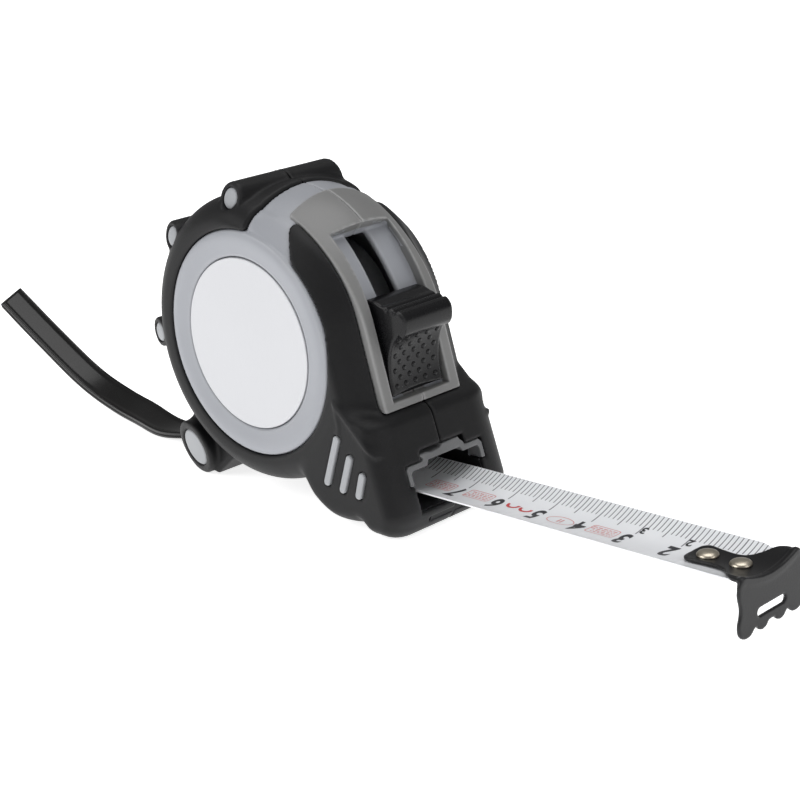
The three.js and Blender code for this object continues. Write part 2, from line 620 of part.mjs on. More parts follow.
function blade() {
  const { bend, touch } = bladePath();
  const steps = 16;
  const section = curvedSection(bladeZ, -BLADE_T / 2, BLADE_T / 2, BLADE_W / 2);
  const geometry = new THREE.ExtrudeGeometry(section, { depth: 1, steps: steps + 1, bevelEnabled: false });
  const axes = [new THREE.Vector3(0, 1, 0), new THREE.Vector3(0, 0, 1), new THREE.Vector3(1, 0, 0)];
  geometry.applyMatrix4(new THREE.Matrix4().makeBasis(...axes));
  // Step k of the strip lies at a share of the inner run; the last step is the pulled-out end.
  const position = geometry.attributes.position;
  for (let i = 0; i < position.count; i++) {
    const k = Math.round(position.getX(i) * (steps + 1));
    const [y, z] = [position.getY(i), position.getZ(i)];
    if (k > steps) {
      position.setX(i, -BLADE_END);
      continue;
    }
    const share = k / steps;
    const ease = share * share * (3 - 2 * share);
    const x = touch[0] + (bend[0] - touch[0]) * share;
    const sag = z + BLADE_SAG; // height above the strip's middle line
    const middle = touch[1] + (bend[1] - BLADE_SAG - touch[1]) * share;
    const thick = z - bladeZ(y);
    position.setXYZ(i, x, y, middle + thick + (sag - thick) * ease);
  }
  const holes = RIVET_X.map((x) => upwards(circle(-x, 0, RIVET_R + GAP), -4, 4, 8));
  const half = BLADE_W / 2;
  const [cutX, cutY] = [-BLADE_END - BLADE_CORNER[0], half - BLADE_CORNER[1]];
  const beyond = [-BLADE_END + 1, half + 1];
  const corner = upwards(outline([
    [cutX, half], [-BLADE_END, cutY], [beyond[0], cutY], beyond, [cutX, beyond[1]],
  ]), -4, 4);
  return solid(geometry).subtract(joined(...holes, corner, corner.mirror([0, 1, 0])));
}

function circle(x, y, radius) {
  const shape = new THREE.Shape();
  shape.absarc(x, y, radius, 0, 2 * Math.PI, false);
  return shape;
}

function hookPlate() {
  const { half, z, r } = HOOK_SLOT;
  const shape = new THREE.Shape();
  const low = -HOOK_DROP;
  const top = hookZ(HOOK_HALF) + HOOK_TOP;
  shape.moveTo(-HOOK_HALF + 1.5, top);
  shape.quadraticCurveTo(-HOOK_HALF, top, -HOOK_HALF, top - 1.9);
  shape.lineTo(-HOOK_HALF + 0.5, -4);
  shape.quadraticCurveTo(-HOOK_HALF - 0.9, low + 1, -HOOK_HALF + 2.4, low);
  shape.quadraticCurveTo(-5.2, low, -4.4, low + 0.8);
  for (const side of [-1, 1]) {
    const middle = side * 2.1;
    shape.quadraticCurveTo(middle - 1.3, low + 0.1, middle, low + 0.1);
    shape.quadraticCurveTo(middle + 1.3, low + 0.1, side < 0 ? 0 : 4.4, low + 0.8);
  }
  shape.quadraticCurveTo(5.2, low, HOOK_HALF - 2.4, low);
  shape.quadraticCurveTo(HOOK_HALF + 0.9, low + 1, HOOK_HALF - 0.5, -4);
  shape.lineTo(HOOK_HALF, top - 1.9);
  shape.quadraticCurveTo(HOOK_HALF, top, HOOK_HALF - 1.5, top);
  for (const y of [6, 3, 0, -3, -6]) {
    shape.lineTo(y, hookZ(y) + HOOK_TOP);
  }
  shape.closePath();
  const slot = new THREE.Shape();
  slot.absarc(half, z, r, -Math.PI / 2, Math.PI / 2, false);
  slot.absarc(-half, z, r, Math.PI / 2, (3 * Math.PI) / 2, false);
  slot.closePath();
  return along(shape, -HOOK_T, 0, 5).subtract(along(slot, -5, 5, 5));
}

function endHook() {
  const lift = BLADE_T / 2 + 0.15;
  const sheet = along(curvedSection(hookZ, lift, HOOK_TOP, HOOK_HALF - 0.4, 12), -HOOK_TONGUE, -HOOK_T / 2);
  const plan = new THREE.Shape();
  plan.moveTo(1, HOOK_HALF - 1.4);
  plan.lineTo(-2.2, HOOK_HALF - 0.9);
  plan.quadraticCurveTo(-4.6, HOOK_HALF - 1.3, -6, TONGUE_HALF + 1.6);
  plan.quadraticCurveTo(-7.4, TONGUE_HALF - 0.1, -10.4, TONGUE_HALF);
  plan.lineTo(-HOOK_TONGUE + 1.6, TONGUE_HALF + 0.4);
  plan.quadraticCurveTo(-HOOK_TONGUE, TONGUE_HALF, -HOOK_TONGUE, 0);
  plan.quadraticCurveTo(-HOOK_TONGUE, -TONGUE_HALF, -HOOK_TONGUE + 1.6, -TONGUE_HALF - 0.4);
  plan.lineTo(-10.4, -TONGUE_HALF);
  plan.quadraticCurveTo(-7.4, -TONGUE_HALF + 0.1, -6, -TONGUE_HALF - 1.6);
  plan.quadraticCurveTo(-4.6, -HOOK_HALF + 1.3, -2.2, -HOOK_HALF + 0.9);
  plan.lineTo(1, -HOOK_HALF + 1.4);
  plan.closePath();
  const slots = RIVET_X.map((x) => {
    const shape = new THREE.Shape();
    const r = RIVET_R + GAP;
    shape.absarc(-x + HOOK_PLAY, 0, r, -Math.PI / 2, Math.PI / 2, false);
    shape.absarc(-x, 0, r, Math.PI / 2, (3 * Math.PI) / 2, false);
    shape.closePath();
    return upwards(shape, -4, 4, 6);
  });
  return sheet.intersect(upwards(plan, -5, 5, 5)).subtract(joined(...slots)).add(hookPlate());
}

function hookRivet() {
  const under = -BLADE_SAG - BLADE_T / 2 - GAP;
  const over = -BLADE_SAG + HOOK_TOP + GAP;
  const profile = [
    [0, under - 0.5], [1.5, under - 0.5], [1.5, under], [RIVET_R, under], [RIVET_R, over], [RIVET_HEAD_R, over],
    [RIVET_HEAD_R - 0.2, over + 0.45], [RIVET_HEAD_R - 0.9, over + 0.75], [0, over + 0.85],
  ];
  return turned(profile, [0, 0], 20);
}

// ---- Strap ------------------------------------------------------------------------------------------
function wristStrap() {
  const eye = PIN_R + RUN;
  const start = [LUG[0] - eye - STRAP_T * 0.6, LUG[1] - 0.6];
  const curve = new THREE.SplineCurve([start, ...STRAP_LINE].map(([x, z]) => new THREE.Vector2(x, z)));
  const count = 30;
  const line = (offset) => Array.from({ length: count + 1 }, (_, i) => {
    const [p, t] = [curve.getPointAt(i / count), curve.getTangentAt(i / count)];
    return [p.x - t.y * offset, p.y + t.x * offset];
  });
  const half = STRAP_T / 2;
  const band = across(outline([...line(half), ...line(-half).reverse()]), -STRAP_HALF, STRAP_HALF);
  const loop = bar(LUG, eye + STRAP_T * 0.7, -STRAP_HALF, STRAP_HALF, 20);
  const flat = band.add(loop).subtract(bar(LUG, eye, -STRAP_HALF - 1, STRAP_HALF + 1, 20));
  return flat.warp(leanStrap);
}

// Leans the strap over sideways and bows it a little to the right on its way to the tip.
function leanStrap(point) {
  const [x, y, z] = point;
  const { degrees, from, to } = STRAP_TILT;
  const back = REAR_X - x;
  const lean = rad(degrees) * THREE.MathUtils.smoothstep(back, from, to);
  const bow = STRAP_SWAY.y * Math.exp(-(((back - STRAP_SWAY.x) / STRAP_SWAY.spread) ** 2));
  point[1] = y * Math.cos(lean) + bow;
  point[2] = z + y * Math.sin(lean);
}

// ---- Assembly ---------------------------------------------------------------------------------------
const finish = (colour, roughness, metalness = 0) => ({ color: colour, roughness, metalness });
const SHELL_GREY = finish(0xaaadb2, 0.42);
const PALE = finish(0xdcdee0, 0.35);
const GRIP_BLACK = finish(0x2b2b2d, 0.6);
const GLOSS_BLACK = finish(0x151517, 0.3);
const NYLON = finish(0xd8d4c8, 0.5);
const STEEL = finish(0x9a9da1, 0.35, 1);
const NICKEL = finish(0xb9ad94, 0.3, 1);
const SCREW_DARK = finish(0x3a3b3d, 0.35, 1);
const BLADE_WHITE = finish(0xf1f2f4, 0.3);
const COIL_GREY = finish(0xb7b9bc, 0.35);

function node(name, shape, look) {
  const mesh = new THREE.Mesh(geometryOf(shape), new THREE.MeshStandardMaterial(look));
  mesh.name = name;
  return mesh;
}

const caseGroup = new THREE.Group();
caseGroup.position.x = CASE_X;

const shellPair = shells();
const gripPair = grips();
caseGroup.add(node("right_shell", shellPair.intersect(rightHalf), SHELL_GREY));
caseGroup.add(node("left_shell", shellPair.intersect(leftHalf), SHELL_GREY));
caseGroup.add(node("right_grip", gripPair.intersect(rightHalf), GRIP_BLACK));
caseGroup.add(node("left_grip", gripPair.intersect(leftHalf), GRIP_BLACK));

const disc = bar([0, 0], LABEL_R, -LABEL_T / 2, LABEL_T / 2, 48);
for (const [side, sign] of [["right", -1], ["left", 1]]) {
  const label = node(`${side}_label`, disc, PALE);
  label.position.set(0, sign * (SIDE_Y - LABEL_DEPTH - LABEL_T / 2), AXIS_Z);
  caseGroup.add(label);
  capPlaces.forEach(({ place, radius }, i) => {
    const name = i < barPlaces.length ? `bar_cap_${side}_${i + 1}` : `lug_cap_${side}`;
    const cap = node(name, bar([0, 0], radius, -CAP_T / 2, CAP_T / 2, 20), SHELL_GREY);
    cap.position.set(place[0], sign * (BAR_HALF + CAP_PROUD - CAP_T / 2), place[1]);
    caseGroup.add(cap);
  });
  STRIPES.forEach((stripe, i) => {
    const [low, high] = [NOSE_HALF - GRIP_WALL + GAP, NOSE_HALF + 0.15].map((y) => sign * y);
    const inlay = across(stripeOutline(stripe, 0), Math.min(low, high), Math.max(low, high), 5);
    caseGroup.add(node(`nose_stripe_${side}_${i + 1}`, inlay, SHELL_GREY));
  });
}

const screw = bar([0, 0], SCREW_R, SCREW_END_Y, SCREW_SEAT_Y, 12)
  .add(bar([0, 0], SCREW_HEAD_R, SCREW_SEAT_Y, SCREW_SEAT_Y + SCREW_HEAD_T, 16))
  .subtract(box(-1.3, 1.3, SCREW_SEAT_Y + SCREW_HEAD_T - 0.7, FAR, -0.35, 0.35))
  .subtract(box(-0.35, 0.35, SCREW_SEAT_Y + SCREW_HEAD_T - 0.7, FAR, -1.3, 1.3));
screwPlaces.forEach(([x, z], i) => {
  const mesh = node(`case_screw_${i + 1}`, screw, SCREW_DARK);
  mesh.position.set(x, 0, z);
  caseGroup.add(mesh);
});

caseGroup.add(node("mouth_frame", mouthFrame(), STEEL));
caseGroup.add(node("mouth_bumper", mouthBumper(), GRIP_BLACK));
caseGroup.add(node("spring_arbor", springArbor(), STEEL));
caseGroup.add(node("strap_pin", bar(LUG, PIN_R, -PIN_HALF, PIN_HALF, 16), STEEL));
caseGroup.add(node("wrist_strap", wristStrap(), GLOSS_BLACK));
caseGroup.add(node("lock_button", lockButton(), GLOSS_BLACK));
caseGroup.add(node("lock_carrier", lockCarrier(), GLOSS_BLACK));
caseGroup.add(node("brake_lever", brakeLever(), NYLON));
caseGroup.add(node("brake_shoe", brakeShoe(), GRIP_BLACK));
caseGroup.add(node("reel_drum", reelDrum(), NYLON));
caseGroup.add(node("reel_cover", reelCover(), NYLON));
caseGroup.add(node("power_spring", powerSpring(), STEEL));
caseGroup.add(node("blade_coil", bladeCoil(), COIL_GREY));

const bladeGroup = new THREE.Group();
bladeGroup.position.set(BLADE_ZERO[0], 0, BLADE_ZERO[1]);
bladeGroup.rotation.y = -rad(BLADE_RISE);
bladeGroup.add(node("blade", blade(), BLADE_WHITE));
bladeGroup.add(node("end_hook", endHook(), GLOSS_BLACK));
RIVET_X.forEach((x, i) => {
  const rivet = node(`hook_rivet_${i + 1}`, hookRivet(), NICKEL);
  rivet.rotation.x = Math.PI / 2;
  rivet.position.x = -x;
  bladeGroup.add(rivet);
});
caseGroup.add(bladeGroup);

const group = new THREE.Group();
group.add(caseGroup);

export default group;
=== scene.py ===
# A pocket tape measure: moulded grey shells, black rubber grip, thumb lock, white blade and wrist strap.
# Lengths are in millimetres from the foot of the reel's axis until a mesh is placed.
import math
import random
import bmesh
import bpy
import numpy as np
from mathutils import Matrix, Vector


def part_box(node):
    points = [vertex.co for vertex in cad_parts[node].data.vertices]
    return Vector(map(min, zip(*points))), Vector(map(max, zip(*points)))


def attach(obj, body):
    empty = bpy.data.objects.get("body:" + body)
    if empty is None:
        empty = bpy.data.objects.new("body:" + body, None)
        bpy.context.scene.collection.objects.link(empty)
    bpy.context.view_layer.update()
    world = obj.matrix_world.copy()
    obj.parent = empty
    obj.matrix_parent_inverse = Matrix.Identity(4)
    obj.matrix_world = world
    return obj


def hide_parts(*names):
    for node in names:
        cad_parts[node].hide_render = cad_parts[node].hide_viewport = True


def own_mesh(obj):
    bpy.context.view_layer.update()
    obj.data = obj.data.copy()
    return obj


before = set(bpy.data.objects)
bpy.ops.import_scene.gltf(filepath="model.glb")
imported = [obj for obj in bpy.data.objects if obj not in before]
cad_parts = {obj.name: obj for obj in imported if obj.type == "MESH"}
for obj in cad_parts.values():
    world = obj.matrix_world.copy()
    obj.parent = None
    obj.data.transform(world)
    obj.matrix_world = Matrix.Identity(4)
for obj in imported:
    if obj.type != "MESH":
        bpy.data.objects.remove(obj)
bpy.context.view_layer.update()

# ---- Places taken over from the solids ----------------------------------------------------------------
low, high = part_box("right_label")
CASE_X = (low.x + high.x) * 500
AXIS_Z = (low.z + high.z) * 500
HALF = 16.5
RING_R = 22.6
LABEL_R = 17.1
WIDEST, HIGHEST = 16.8, 63.98
RUBBER_WALL = 1.45
SHELL_DROP, BACKING_DROP = 0.62, 1.62
SEAM = 0.16
BODY = (-0.9, 33.0)
BODY_R = 29.0
FRAME_FOOT = (31.8, 23.5)
FRAME_HALF = 10.2
PLATE_REAR = 8.0
GRIP_FRONT = 1.8
TRACK = (-16.9, 21.3)
TRACK_R = 46.0
RAIL = 1.3
WINDOW_HALF = 7.6
WINDOW = (4.4, 45.6)
MOUTH_HALF, MOUTH_LOW, MOUTH_TOP = 9.3, 5.0, 12.9
STEP_HALF, STEP_UP = 4.9, 1.3
BARS = [(28.2, 97.8), (29.0, 142.3), (30.2, 186.8)]
BAR_R = 3.1
BAR_HALF = 13.6
LUG_RING, LUG_ANGLE, LUG_R = 34.9, 231.3, 5.9
STRIPES = [(24.5, 18.9, 21.2, 9.6), (27.7, 15.7, 25.4, 9.0), (30.9, 12.9, 29.7, 8.8)]
BLADE_ZERO = (110.6, 10.6)
RISE = math.radians(1.5)
SCREWS = [(23.9, 95), (23.9, 222)]
NOSE_SCREW = (31.0, 18.2)


def polar(centre, radius, degrees):
    a = math.radians(degrees)
    return centre[0] + radius * math.cos(a), centre[1] + radius * math.sin(a)


LUG = polar(BODY, LUG_RING, LUG_ANGLE)
BAR_PLACES = [polar(BODY, r, a) for r, a in BARS]
END_SLANT = 0.3
CAP_R, LUG_CAP_R = 1.95, 4.0


def end_slant(dx, dz, degrees):
    """How much nearer to the middle a slanting end face lies, at a place measured from its centre."""
    a = math.radians(degrees)
    return END_SLANT * (dx * math.cos(a) + dz * math.sin(a))


SCREW_PLACES = [polar((0, AXIS_Z), r, a) for r, a in SCREWS] + [NOSE_SCREW]


# ---- Shader building ----------------------------------------------------------------------------------
class Wire:
    """A value in a shader tree. Arithmetic on it adds Math nodes."""

    def __init__(self, finish, socket):
        self.finish = finish
        self.socket = socket

    def join(self, operation, *others, clamp=False):
        inputs = [self, *others]
        return self.finish.add("ShaderNodeMath", {"operation": operation, "use_clamp": clamp}, inputs)

    def __add__(self, other):
        return self.join("ADD", other)

    def __sub__(self, other):
        return self.join("SUBTRACT", other)

    def __rsub__(self, other):
        return self.join("MULTIPLY_ADD", -1.0, other)

    def __mul__(self, other):
        return self.join("MULTIPLY", other)

    def __truediv__(self, other):
        return self.join("DIVIDE", other)

    def __gt__(self, other):
        return self.join("GREATER_THAN", other)

    def __lt__(self, other):
        return self.join("LESS_THAN", other)

    __radd__ = __add__
    __rmul__ = __mul__

    def clamped(self):
        return self.join("MAXIMUM", 0.0, clamp=True)


class Finish:
    """A material whose nodes are added one by one."""

    def __init__(self, name, **sockets):
        self.material = bpy.data.materials.new(name)
        self.material.use_nodes = True
        self.tree = self.material.node_tree
        self.shader = self.tree.nodes["Principled BSDF"]
        for key, value in sockets.items():
            self.set(key.replace("_", " "), value)

    def link(self, target, value):
        if isinstance(value, Wire):
            self.tree.links.new(value.socket, target)
        elif isinstance(value, tuple) and len(value) == 3 and target.type == "RGBA":
            target.default_value = (*value, 1.0)
        else:
            target.default_value = value

    def set(self, key, value):
        self.link(self.shader.inputs[key], value)

    def add(self, kind, settings, values, output=0):
        node = self.tree.nodes.new(kind)
        for key, value in settings.items():
            if key == "stops":
                ramp = node.color_ramp
                for element, (position, colour) in zip(
                    [ramp.elements[0], ramp.elements[1]] + [ramp.elements.new(0.5) for _ in value[2:]], value
                ):
                    element.position = position
                    element.color = (*colour, 1.0)
            else:
                setattr(node, key, value)
        pairs = values.items() if isinstance(values, dict) else enumerate(values)
        for key, value in pairs:
            self.link(node.inputs[key], value)
        return Wire(self, node.outputs[output])

    def place(self):
        return self.add("ShaderNodeTexCoord", {}, {}, "Object")

    def noise(self, scale, detail=3.0, roughness=0.55, vector=None):
        values = {"Vector": vector or self.place(), "Scale": scale, "Detail": detail, "Roughness": roughness}
        return self.add("ShaderNodeTexNoise", {}, values)

    def stretched(self, scale):
        return self.add("ShaderNodeMapping", {}, {"Vector": self.place(), "Scale": scale})

    def mixed(self, share, first, second):
        node = self.tree.nodes.new("ShaderNodeMix")
        node.data_type = "RGBA"
        colours = [socket for socket in node.inputs if socket.type == "RGBA"]
        self.link(node.inputs[0], share)
        self.link(colours[0], first)
        self.link(colours[1], second)
        return Wire(self, next(socket for socket in node.outputs if socket.type == "RGBA"))

    def spread(self, value, low_value, high_value):
        return value * (high_value - low_value) + low_value

    def bump(self, height, distance, strength=1.0):
        return self.add("ShaderNodeBump", {}, {"Height": height, "Distance": distance, "Strength": strength})


def moulded(name, colour, shade, rough, grain, depth, worn_and_highlit_edge=None, **sockets):
    """Moulded plastic or rubber: a slight drift of tone, a fine spark-eroded grain and uneven gloss.

    Corners that stand out are made paler, where the mesh holds how sharp they are: partly wear, partly a
    painted highlight along the edges.
    """
    finish = Finish(name, **sockets)
    drift = finish.noise(70.0, 2.0)
    fine = finish.noise(grain, 2.0, 0.6)
    tone = (drift * 0.7 + fine * 0.5 - 0.1).clamped()
    base = finish.mixed(tone, shade, colour)
    if worn_and_highlit_edge:
        # Paler corners: partly wear, partly painted highlight along the edges.
        corner = finish.add("ShaderNodeAttribute", {"attribute_name": "corner"}, {}, "Fac")
        base = finish.mixed((corner * (0.6 + drift * 0.5)).clamped(), base, worn_and_highlit_edge)
    finish.set("Base Color", base)
    finish.set("Roughness", finish.spread(drift * 0.6 + fine * 0.4, *rough))
    finish.set("Normal", finish.bump(fine, depth))
    return finish


def metal(name, colour, shade, rough, streak, **sockets):
    """Bright metal with fine drawn lines."""
    finish = Finish(name, Metallic=1.0, **sockets)
    lines = finish.noise(1.0, 3.0, 0.6, finish.stretched(streak))
    cloud = finish.noise(260.0, 2.0)
    finish.set("Base Color", finish.mixed((lines * 0.6 + cloud * 0.4).clamped(), shade, colour))
    finish.set("Roughness", finish.spread(lines, *rough))
    finish.set("Normal", finish.bump(lines, 0.00002))
    return finish


# The paler corner colours below are partly wear and partly painted highlight along the edges.
SHELL = moulded(
    "grey_shell_plastic", (0.335, 0.345, 0.375), (0.285, 0.295, 0.32), (0.28, 0.44), 5200.0, 0.000012,
    worn_and_highlit_edge=(0.42, 0.43, 0.45),
)
PLATE = moulded(
    "grey_plate_plastic", (0.20, 0.20, 0.20), (0.165, 0.165, 0.163), (0.34, 0.5), 5200.0, 0.000012,
    worn_and_highlit_edge=(0.42, 0.42, 0.42),
)
GRIP = moulded(
    "black_grip_rubber", (0.009, 0.009, 0.0098), (0.0055, 0.0055, 0.006), (0.40, 0.58), 4200.0, 0.00003,
    worn_and_highlit_edge=(0.022, 0.022, 0.023), Specular_IOR_Level=0.22,
)
CAP = moulded("grey_cap_plastic", (0.36, 0.37, 0.385), (0.30, 0.31, 0.325), (0.40, 0.6), 3800.0, 0.00003)
BUTTON = moulded(
    "black_button_plastic", (0.006, 0.006, 0.007), (0.0035, 0.0035, 0.004), (0.2, 0.34), 4600.0, 0.000008,
    worn_and_highlit_edge=(0.05, 0.05, 0.052), Specular_IOR_Level=0.25,
)
NYLON = moulded("natural_nylon", (0.66, 0.62, 0.52), (0.58, 0.54, 0.45), (0.40, 0.55), 3000.0, 0.00001)
STRAP = moulded(
    "black_strap_vinyl", (0.006, 0.0055, 0.0055), (0.003, 0.003, 0.003), (0.14, 0.30), 1800.0, 0.00002,
    Coat_Weight=0.12,
    Coat_Roughness=0.12, Specular_IOR_Level=0.28,
)
HOOK = moulded(
    "black_hook_coating", (0.007, 0.007, 0.008), (0.004, 0.004, 0.0045), (0.24, 0.42), 3600.0, 0.00002,
    worn_and_highlit_edge=(0.05, 0.05, 0.052),
    Specular_IOR_Level=0.25,
)
BRACKET = moulded(
    "grey_bracket_coating", (0.165, 0.168, 0.172), (0.11, 0.112, 0.115), (0.35, 0.55), 3600.0, 0.00002,
)
RED_INK = moulded("red_ink", (0.62, 0.045, 0.05), (0.50, 0.05, 0.06), (0.30, 0.42), 5000.0, 0.000004)
PINK_INK = moulded("pale_red_ink", (0.72, 0.30, 0.30), (0.60, 0.22, 0.22), (0.30, 0.42), 5000.0, 0.000004)
BLACK_INK = moulded("black_ink", (0.022, 0.022, 0.026), (0.035, 0.035, 0.04), (0.30, 0.42), 5000.0, 0.000004)
STEEL = metal("bright_steel", (0.42, 0.43, 0.45), (0.30, 0.31, 0.33), (0.22, 0.42), (900.0, 900.0, 60.0))
RIVET = metal("warm_nickel", (0.58, 0.53, 0.44), (0.40, 0.36, 0.29), (0.24, 0.42), (700.0, 700.0, 700.0))
SCREW = metal("dark_screw_steel", (0.10, 0.10, 0.11), (0.05, 0.05, 0.055), (0.30, 0.5), (800.0, 800.0, 800.0))


def label_film():
    """Pale silver film, brushed up and down so finely that it reads as satin."""
    finish = Finish("silver_label_film", Metallic=0.25)
    lines = finish.noise(1.0, 3.0, 0.6, finish.stretched((6000.0, 300.0, 260.0)))
    drift = finish.noise(30.0, 1.0)
    finish.set(
        "Base Color",
        finish.mixed((lines * 0.5 + drift * 0.5).clamped(), (0.54, 0.545, 0.565), (0.61, 0.615, 0.635)),
    )
    finish.set("Roughness", finish.spread(lines, 0.36, 0.5))
    finish.set("Normal", finish.bump(lines, 0.000004))
    return finish


def blade_lacquer():
    """White lacquer with its printed divisions; the UV holds the run back from the hook and the width."""
    finish = Finish("white_blade_lacquer", Coat_Weight=0.3, Coat_Roughness=0.2)
    apart = finish.tree.nodes.new("ShaderNodeSeparateXYZ")
    finish.tree.links.new(finish.add("ShaderNodeUVMap", {"uv_map": "scale"}, {}).socket, apart.inputs[0])
    run = Wire(finish, apart.outputs[0]) * 100.0
    across = (Wire(finish, apart.outputs[1]) - 0.5) * 100.0

    def divisions(period, half, inner):
        near = (run / period + 0.5).join("FRACT") - 0.5
        off = near.join("ABSOLUTE") * period
        line = ((half - off) / 0.06 + 0.5).clamped()
        return line * (across > inner)

    marks = divisions(1.0, 0.11, 4.35).join("MAXIMUM", divisions(5.0, 0.12, 3.1))
    marks = marks.join("MAXIMUM", divisions(10.0, 0.13, 1.9)) * (across < 7.85)
    stain = finish.noise(110.0, 3.0)
    white = finish.mixed(stain, (0.80, 0.815, 0.845), (0.88, 0.89, 0.91))
    finish.set("Base Color", finish.mixed(marks * 0.9, white, (0.10, 0.10, 0.115)))
    finish.set("Roughness", finish.spread(stain, 0.26, 0.38))
    finish.set("Normal", finish.bump(finish.noise(1400.0, 2.0), 0.000006))
    return finish


LABEL = label_film()
BLADE = blade_lacquer()


# ---- Meshes -------------------------------------------------------------------------------------------
def placed(points):
    """Points from the reel axis's foot, in millimetres, to the row frame in metres."""
    points = np.asarray(points, float).reshape(-1, 3)
    return (points + np.array([CASE_X, 0, 0])) / 1000


def from_blade(points):
    """Points from the hook's face and the level of the blade's edges, to the foot of the reel's axis."""
    points = np.asarray(points, float).reshape(-1, 3)
    x, y, z = points.T
    c, s = math.cos(RISE), math.sin(RISE)
    return np.stack([BLADE_ZERO[0] + x * c - z * s, y, BLADE_ZERO[1] + x * s + z * c], 1)


def make(name, points, faces, finish, body, smooth=True, replaces=()):
    mesh = bpy.data.meshes.new(name)
    mesh.from_pydata([tuple(p) for p in placed(points)], [], [tuple(int(i) for i in f) for f in faces])
    mesh.validate()
    mesh.polygons.foreach_set("use_smooth", [smooth] * len(mesh.polygons))
    obj = bpy.data.objects.new(name, mesh)
    bpy.context.scene.collection.objects.link(obj)
    obj.data.materials.append(finish.material)
    settle(obj, body, replaces)
    return obj


def mark_corners(obj, points, quads, gain):
    """Holds at each point how far it stands out from its neighbours, for the paler corners: partly wear,
    partly painted highlight along the edges.
    """
    edges = np.concatenate([quads[:, [0, 1]], quads[:, [1, 2]], quads[:, [2, 3]], quads[:, [3, 0]]])
    degree = np.maximum(np.bincount(edges[:, 0], minlength=len(points)), 1)

    def around(values):
        return np.bincount(edges[:, 0], values[edges[:, 1]], len(points)) / degree

    normals = np.zeros((len(obj.data.vertices), 3), np.float32)
    obj.data.vertices.foreach_get("normal", normals.ravel())
    middle = np.stack([around(points[:, n]) for n in range(3)], 1)
    out = np.sum((points - middle) * normals, 1)
    for _ in range(2):
        out = around(out)
    held = obj.data.attributes.new("corner", "FLOAT", "POINT")
    held.data.foreach_set("value", np.clip(out * gain - 0.12, 0, 1).astype(np.float32))


def settle(obj, body, replaces=()):
    if body:
        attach(obj, body)
    if replaces:
        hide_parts(*replaces)


def sharpen(obj, degrees):
    mesh = bmesh.new()
    mesh.from_mesh(obj.data)
    for edge in mesh.edges:
        if len(edge.link_faces) == 2 and edge.calc_face_angle(0) > math.radians(degrees):
            edge.smooth = False
    mesh.to_mesh(obj.data)
    mesh.free()


def turned(
    name, profile, place, finish, body, segments=96, replaces=(), blade=False, upright=False,
    slant=None,
):
    """A turned piece; the profile's points are (radius, height). It turns about Y, or about Z where upright.

    Where it has a slant, that angle's end slant is taken off its height.
    """
    points, faces = [], []
    for radius, height in profile:
        for k in range(segments):
            a = 2 * math.pi * k / segments
            u, v = radius * math.cos(a), radius * math.sin(a)
            points.append((u, v, height) if upright else (u, height, -v))
    for i in range(len(profile) - 1):
        for k in range(segments):
            a, b = i * segments + k, i * segments + (k + 1) % segments
            faces.append((a, b, b + segments, a + segments))
    points = np.array(points)
    if slant is not None:
        points[:, 1] -= np.sign(points[:, 1]) * end_slant(points[:, 0], points[:, 2], slant)
    points = points + np.array(place)
    if blade:
        points = from_blade(points)
    faces.append(tuple(reversed(range(segments))))
    last = (len(profile) - 1) * segments
    faces.append(tuple(range(last, last + segments)))
    obj = make(name, points, faces, finish, body, replaces=replaces)
    outwards(obj)
    sharpen(obj, 35)
    return obj


def outwards(obj):
    mesh = bmesh.new()
    mesh.from_mesh(obj.data)
    bmesh.ops.recalc_face_normals(mesh, faces=mesh.faces)
    mesh.to_mesh(obj.data)
    mesh.free()


# ---- Rounded forms, found as the zero of a field of signed distances ----------------------------------
class Room:
    """A grid of points; fields on it broadcast over x, y and z."""

    def __init__(self, corner, far, step):
        self.step = step
        self.corner = np.array(corner, float)
        axes = [np.arange(a, b + step, step) for a, b in zip(corner, far)]
        self.x = axes[0][:, None, None]
        self.y = axes[1][None, :, None]
        self.z = axes[2][None, None, :]
        self.shape = tuple(len(a) for a in axes)

    def outline(self, points, u, v):
        """Signed distance to a closed outline, negative inside, in the plane of u and v."""
        points = np.asarray(points, float)
        u, v = np.broadcast_arrays(u, v)
        nearest = np.full(u.shape, 1e9)
        inside = np.zeros(u.shape, bool)
        for (ax, ay), (bx, by) in zip(points, np.roll(points, -1, 0)):
            dx, dy = bx - ax, by - ay
            t = np.clip(((u - ax) * dx + (v - ay) * dy) / (dx * dx + dy * dy + 1e-12), 0, 1)
            nearest = np.minimum(nearest, (u - ax - t * dx) ** 2 + (v - ay - t * dy) ** 2)
            if ay != by:
                inside ^= ((ay > v) != (by > v)) & (u < (bx - ax) * (v - ay) / (by - ay) + ax)
        return np.sqrt(nearest) * np.where(inside, -1, 1)


def both(a, b, r=0.0):
    """Where both forms are, with an edge rounded by r."""
    top = np.maximum(a, b)
    if not r:
        return top
    return top + np.maximum(r - np.abs(a - b), 0) ** 2 / (4 * r)


def either(a, b, r=0.0):
    return -both(-a, -b, r)


def without(a, b, r=0.0):
    return both(a, -b, r)


def ramp(value, start, end):
    t = np.clip((value - start) / (end - start), 0, 1)
    return t * t * (3 - 2 * t)


CORNERS = [(i, j, k) for i in (0, 1) for j in (0, 1) for k in (0, 1)]


def sampled(field, points):
    """The field at points given in grid steps, between its grid values."""
    points = np.clip(points, 0, np.array(field.shape) - 1.001)
    base = points.astype(int)
    part = points - base
    total = np.zeros(len(points))
    for corner in CORNERS:
        weight = np.prod([part[:, n] if c else 1 - part[:, n] for n, c in enumerate(corner)], axis=0)
        total += weight * field[base[:, 0] + corner[0], base[:, 1] + corner[1], base[:, 2] + corner[2]]
    return total


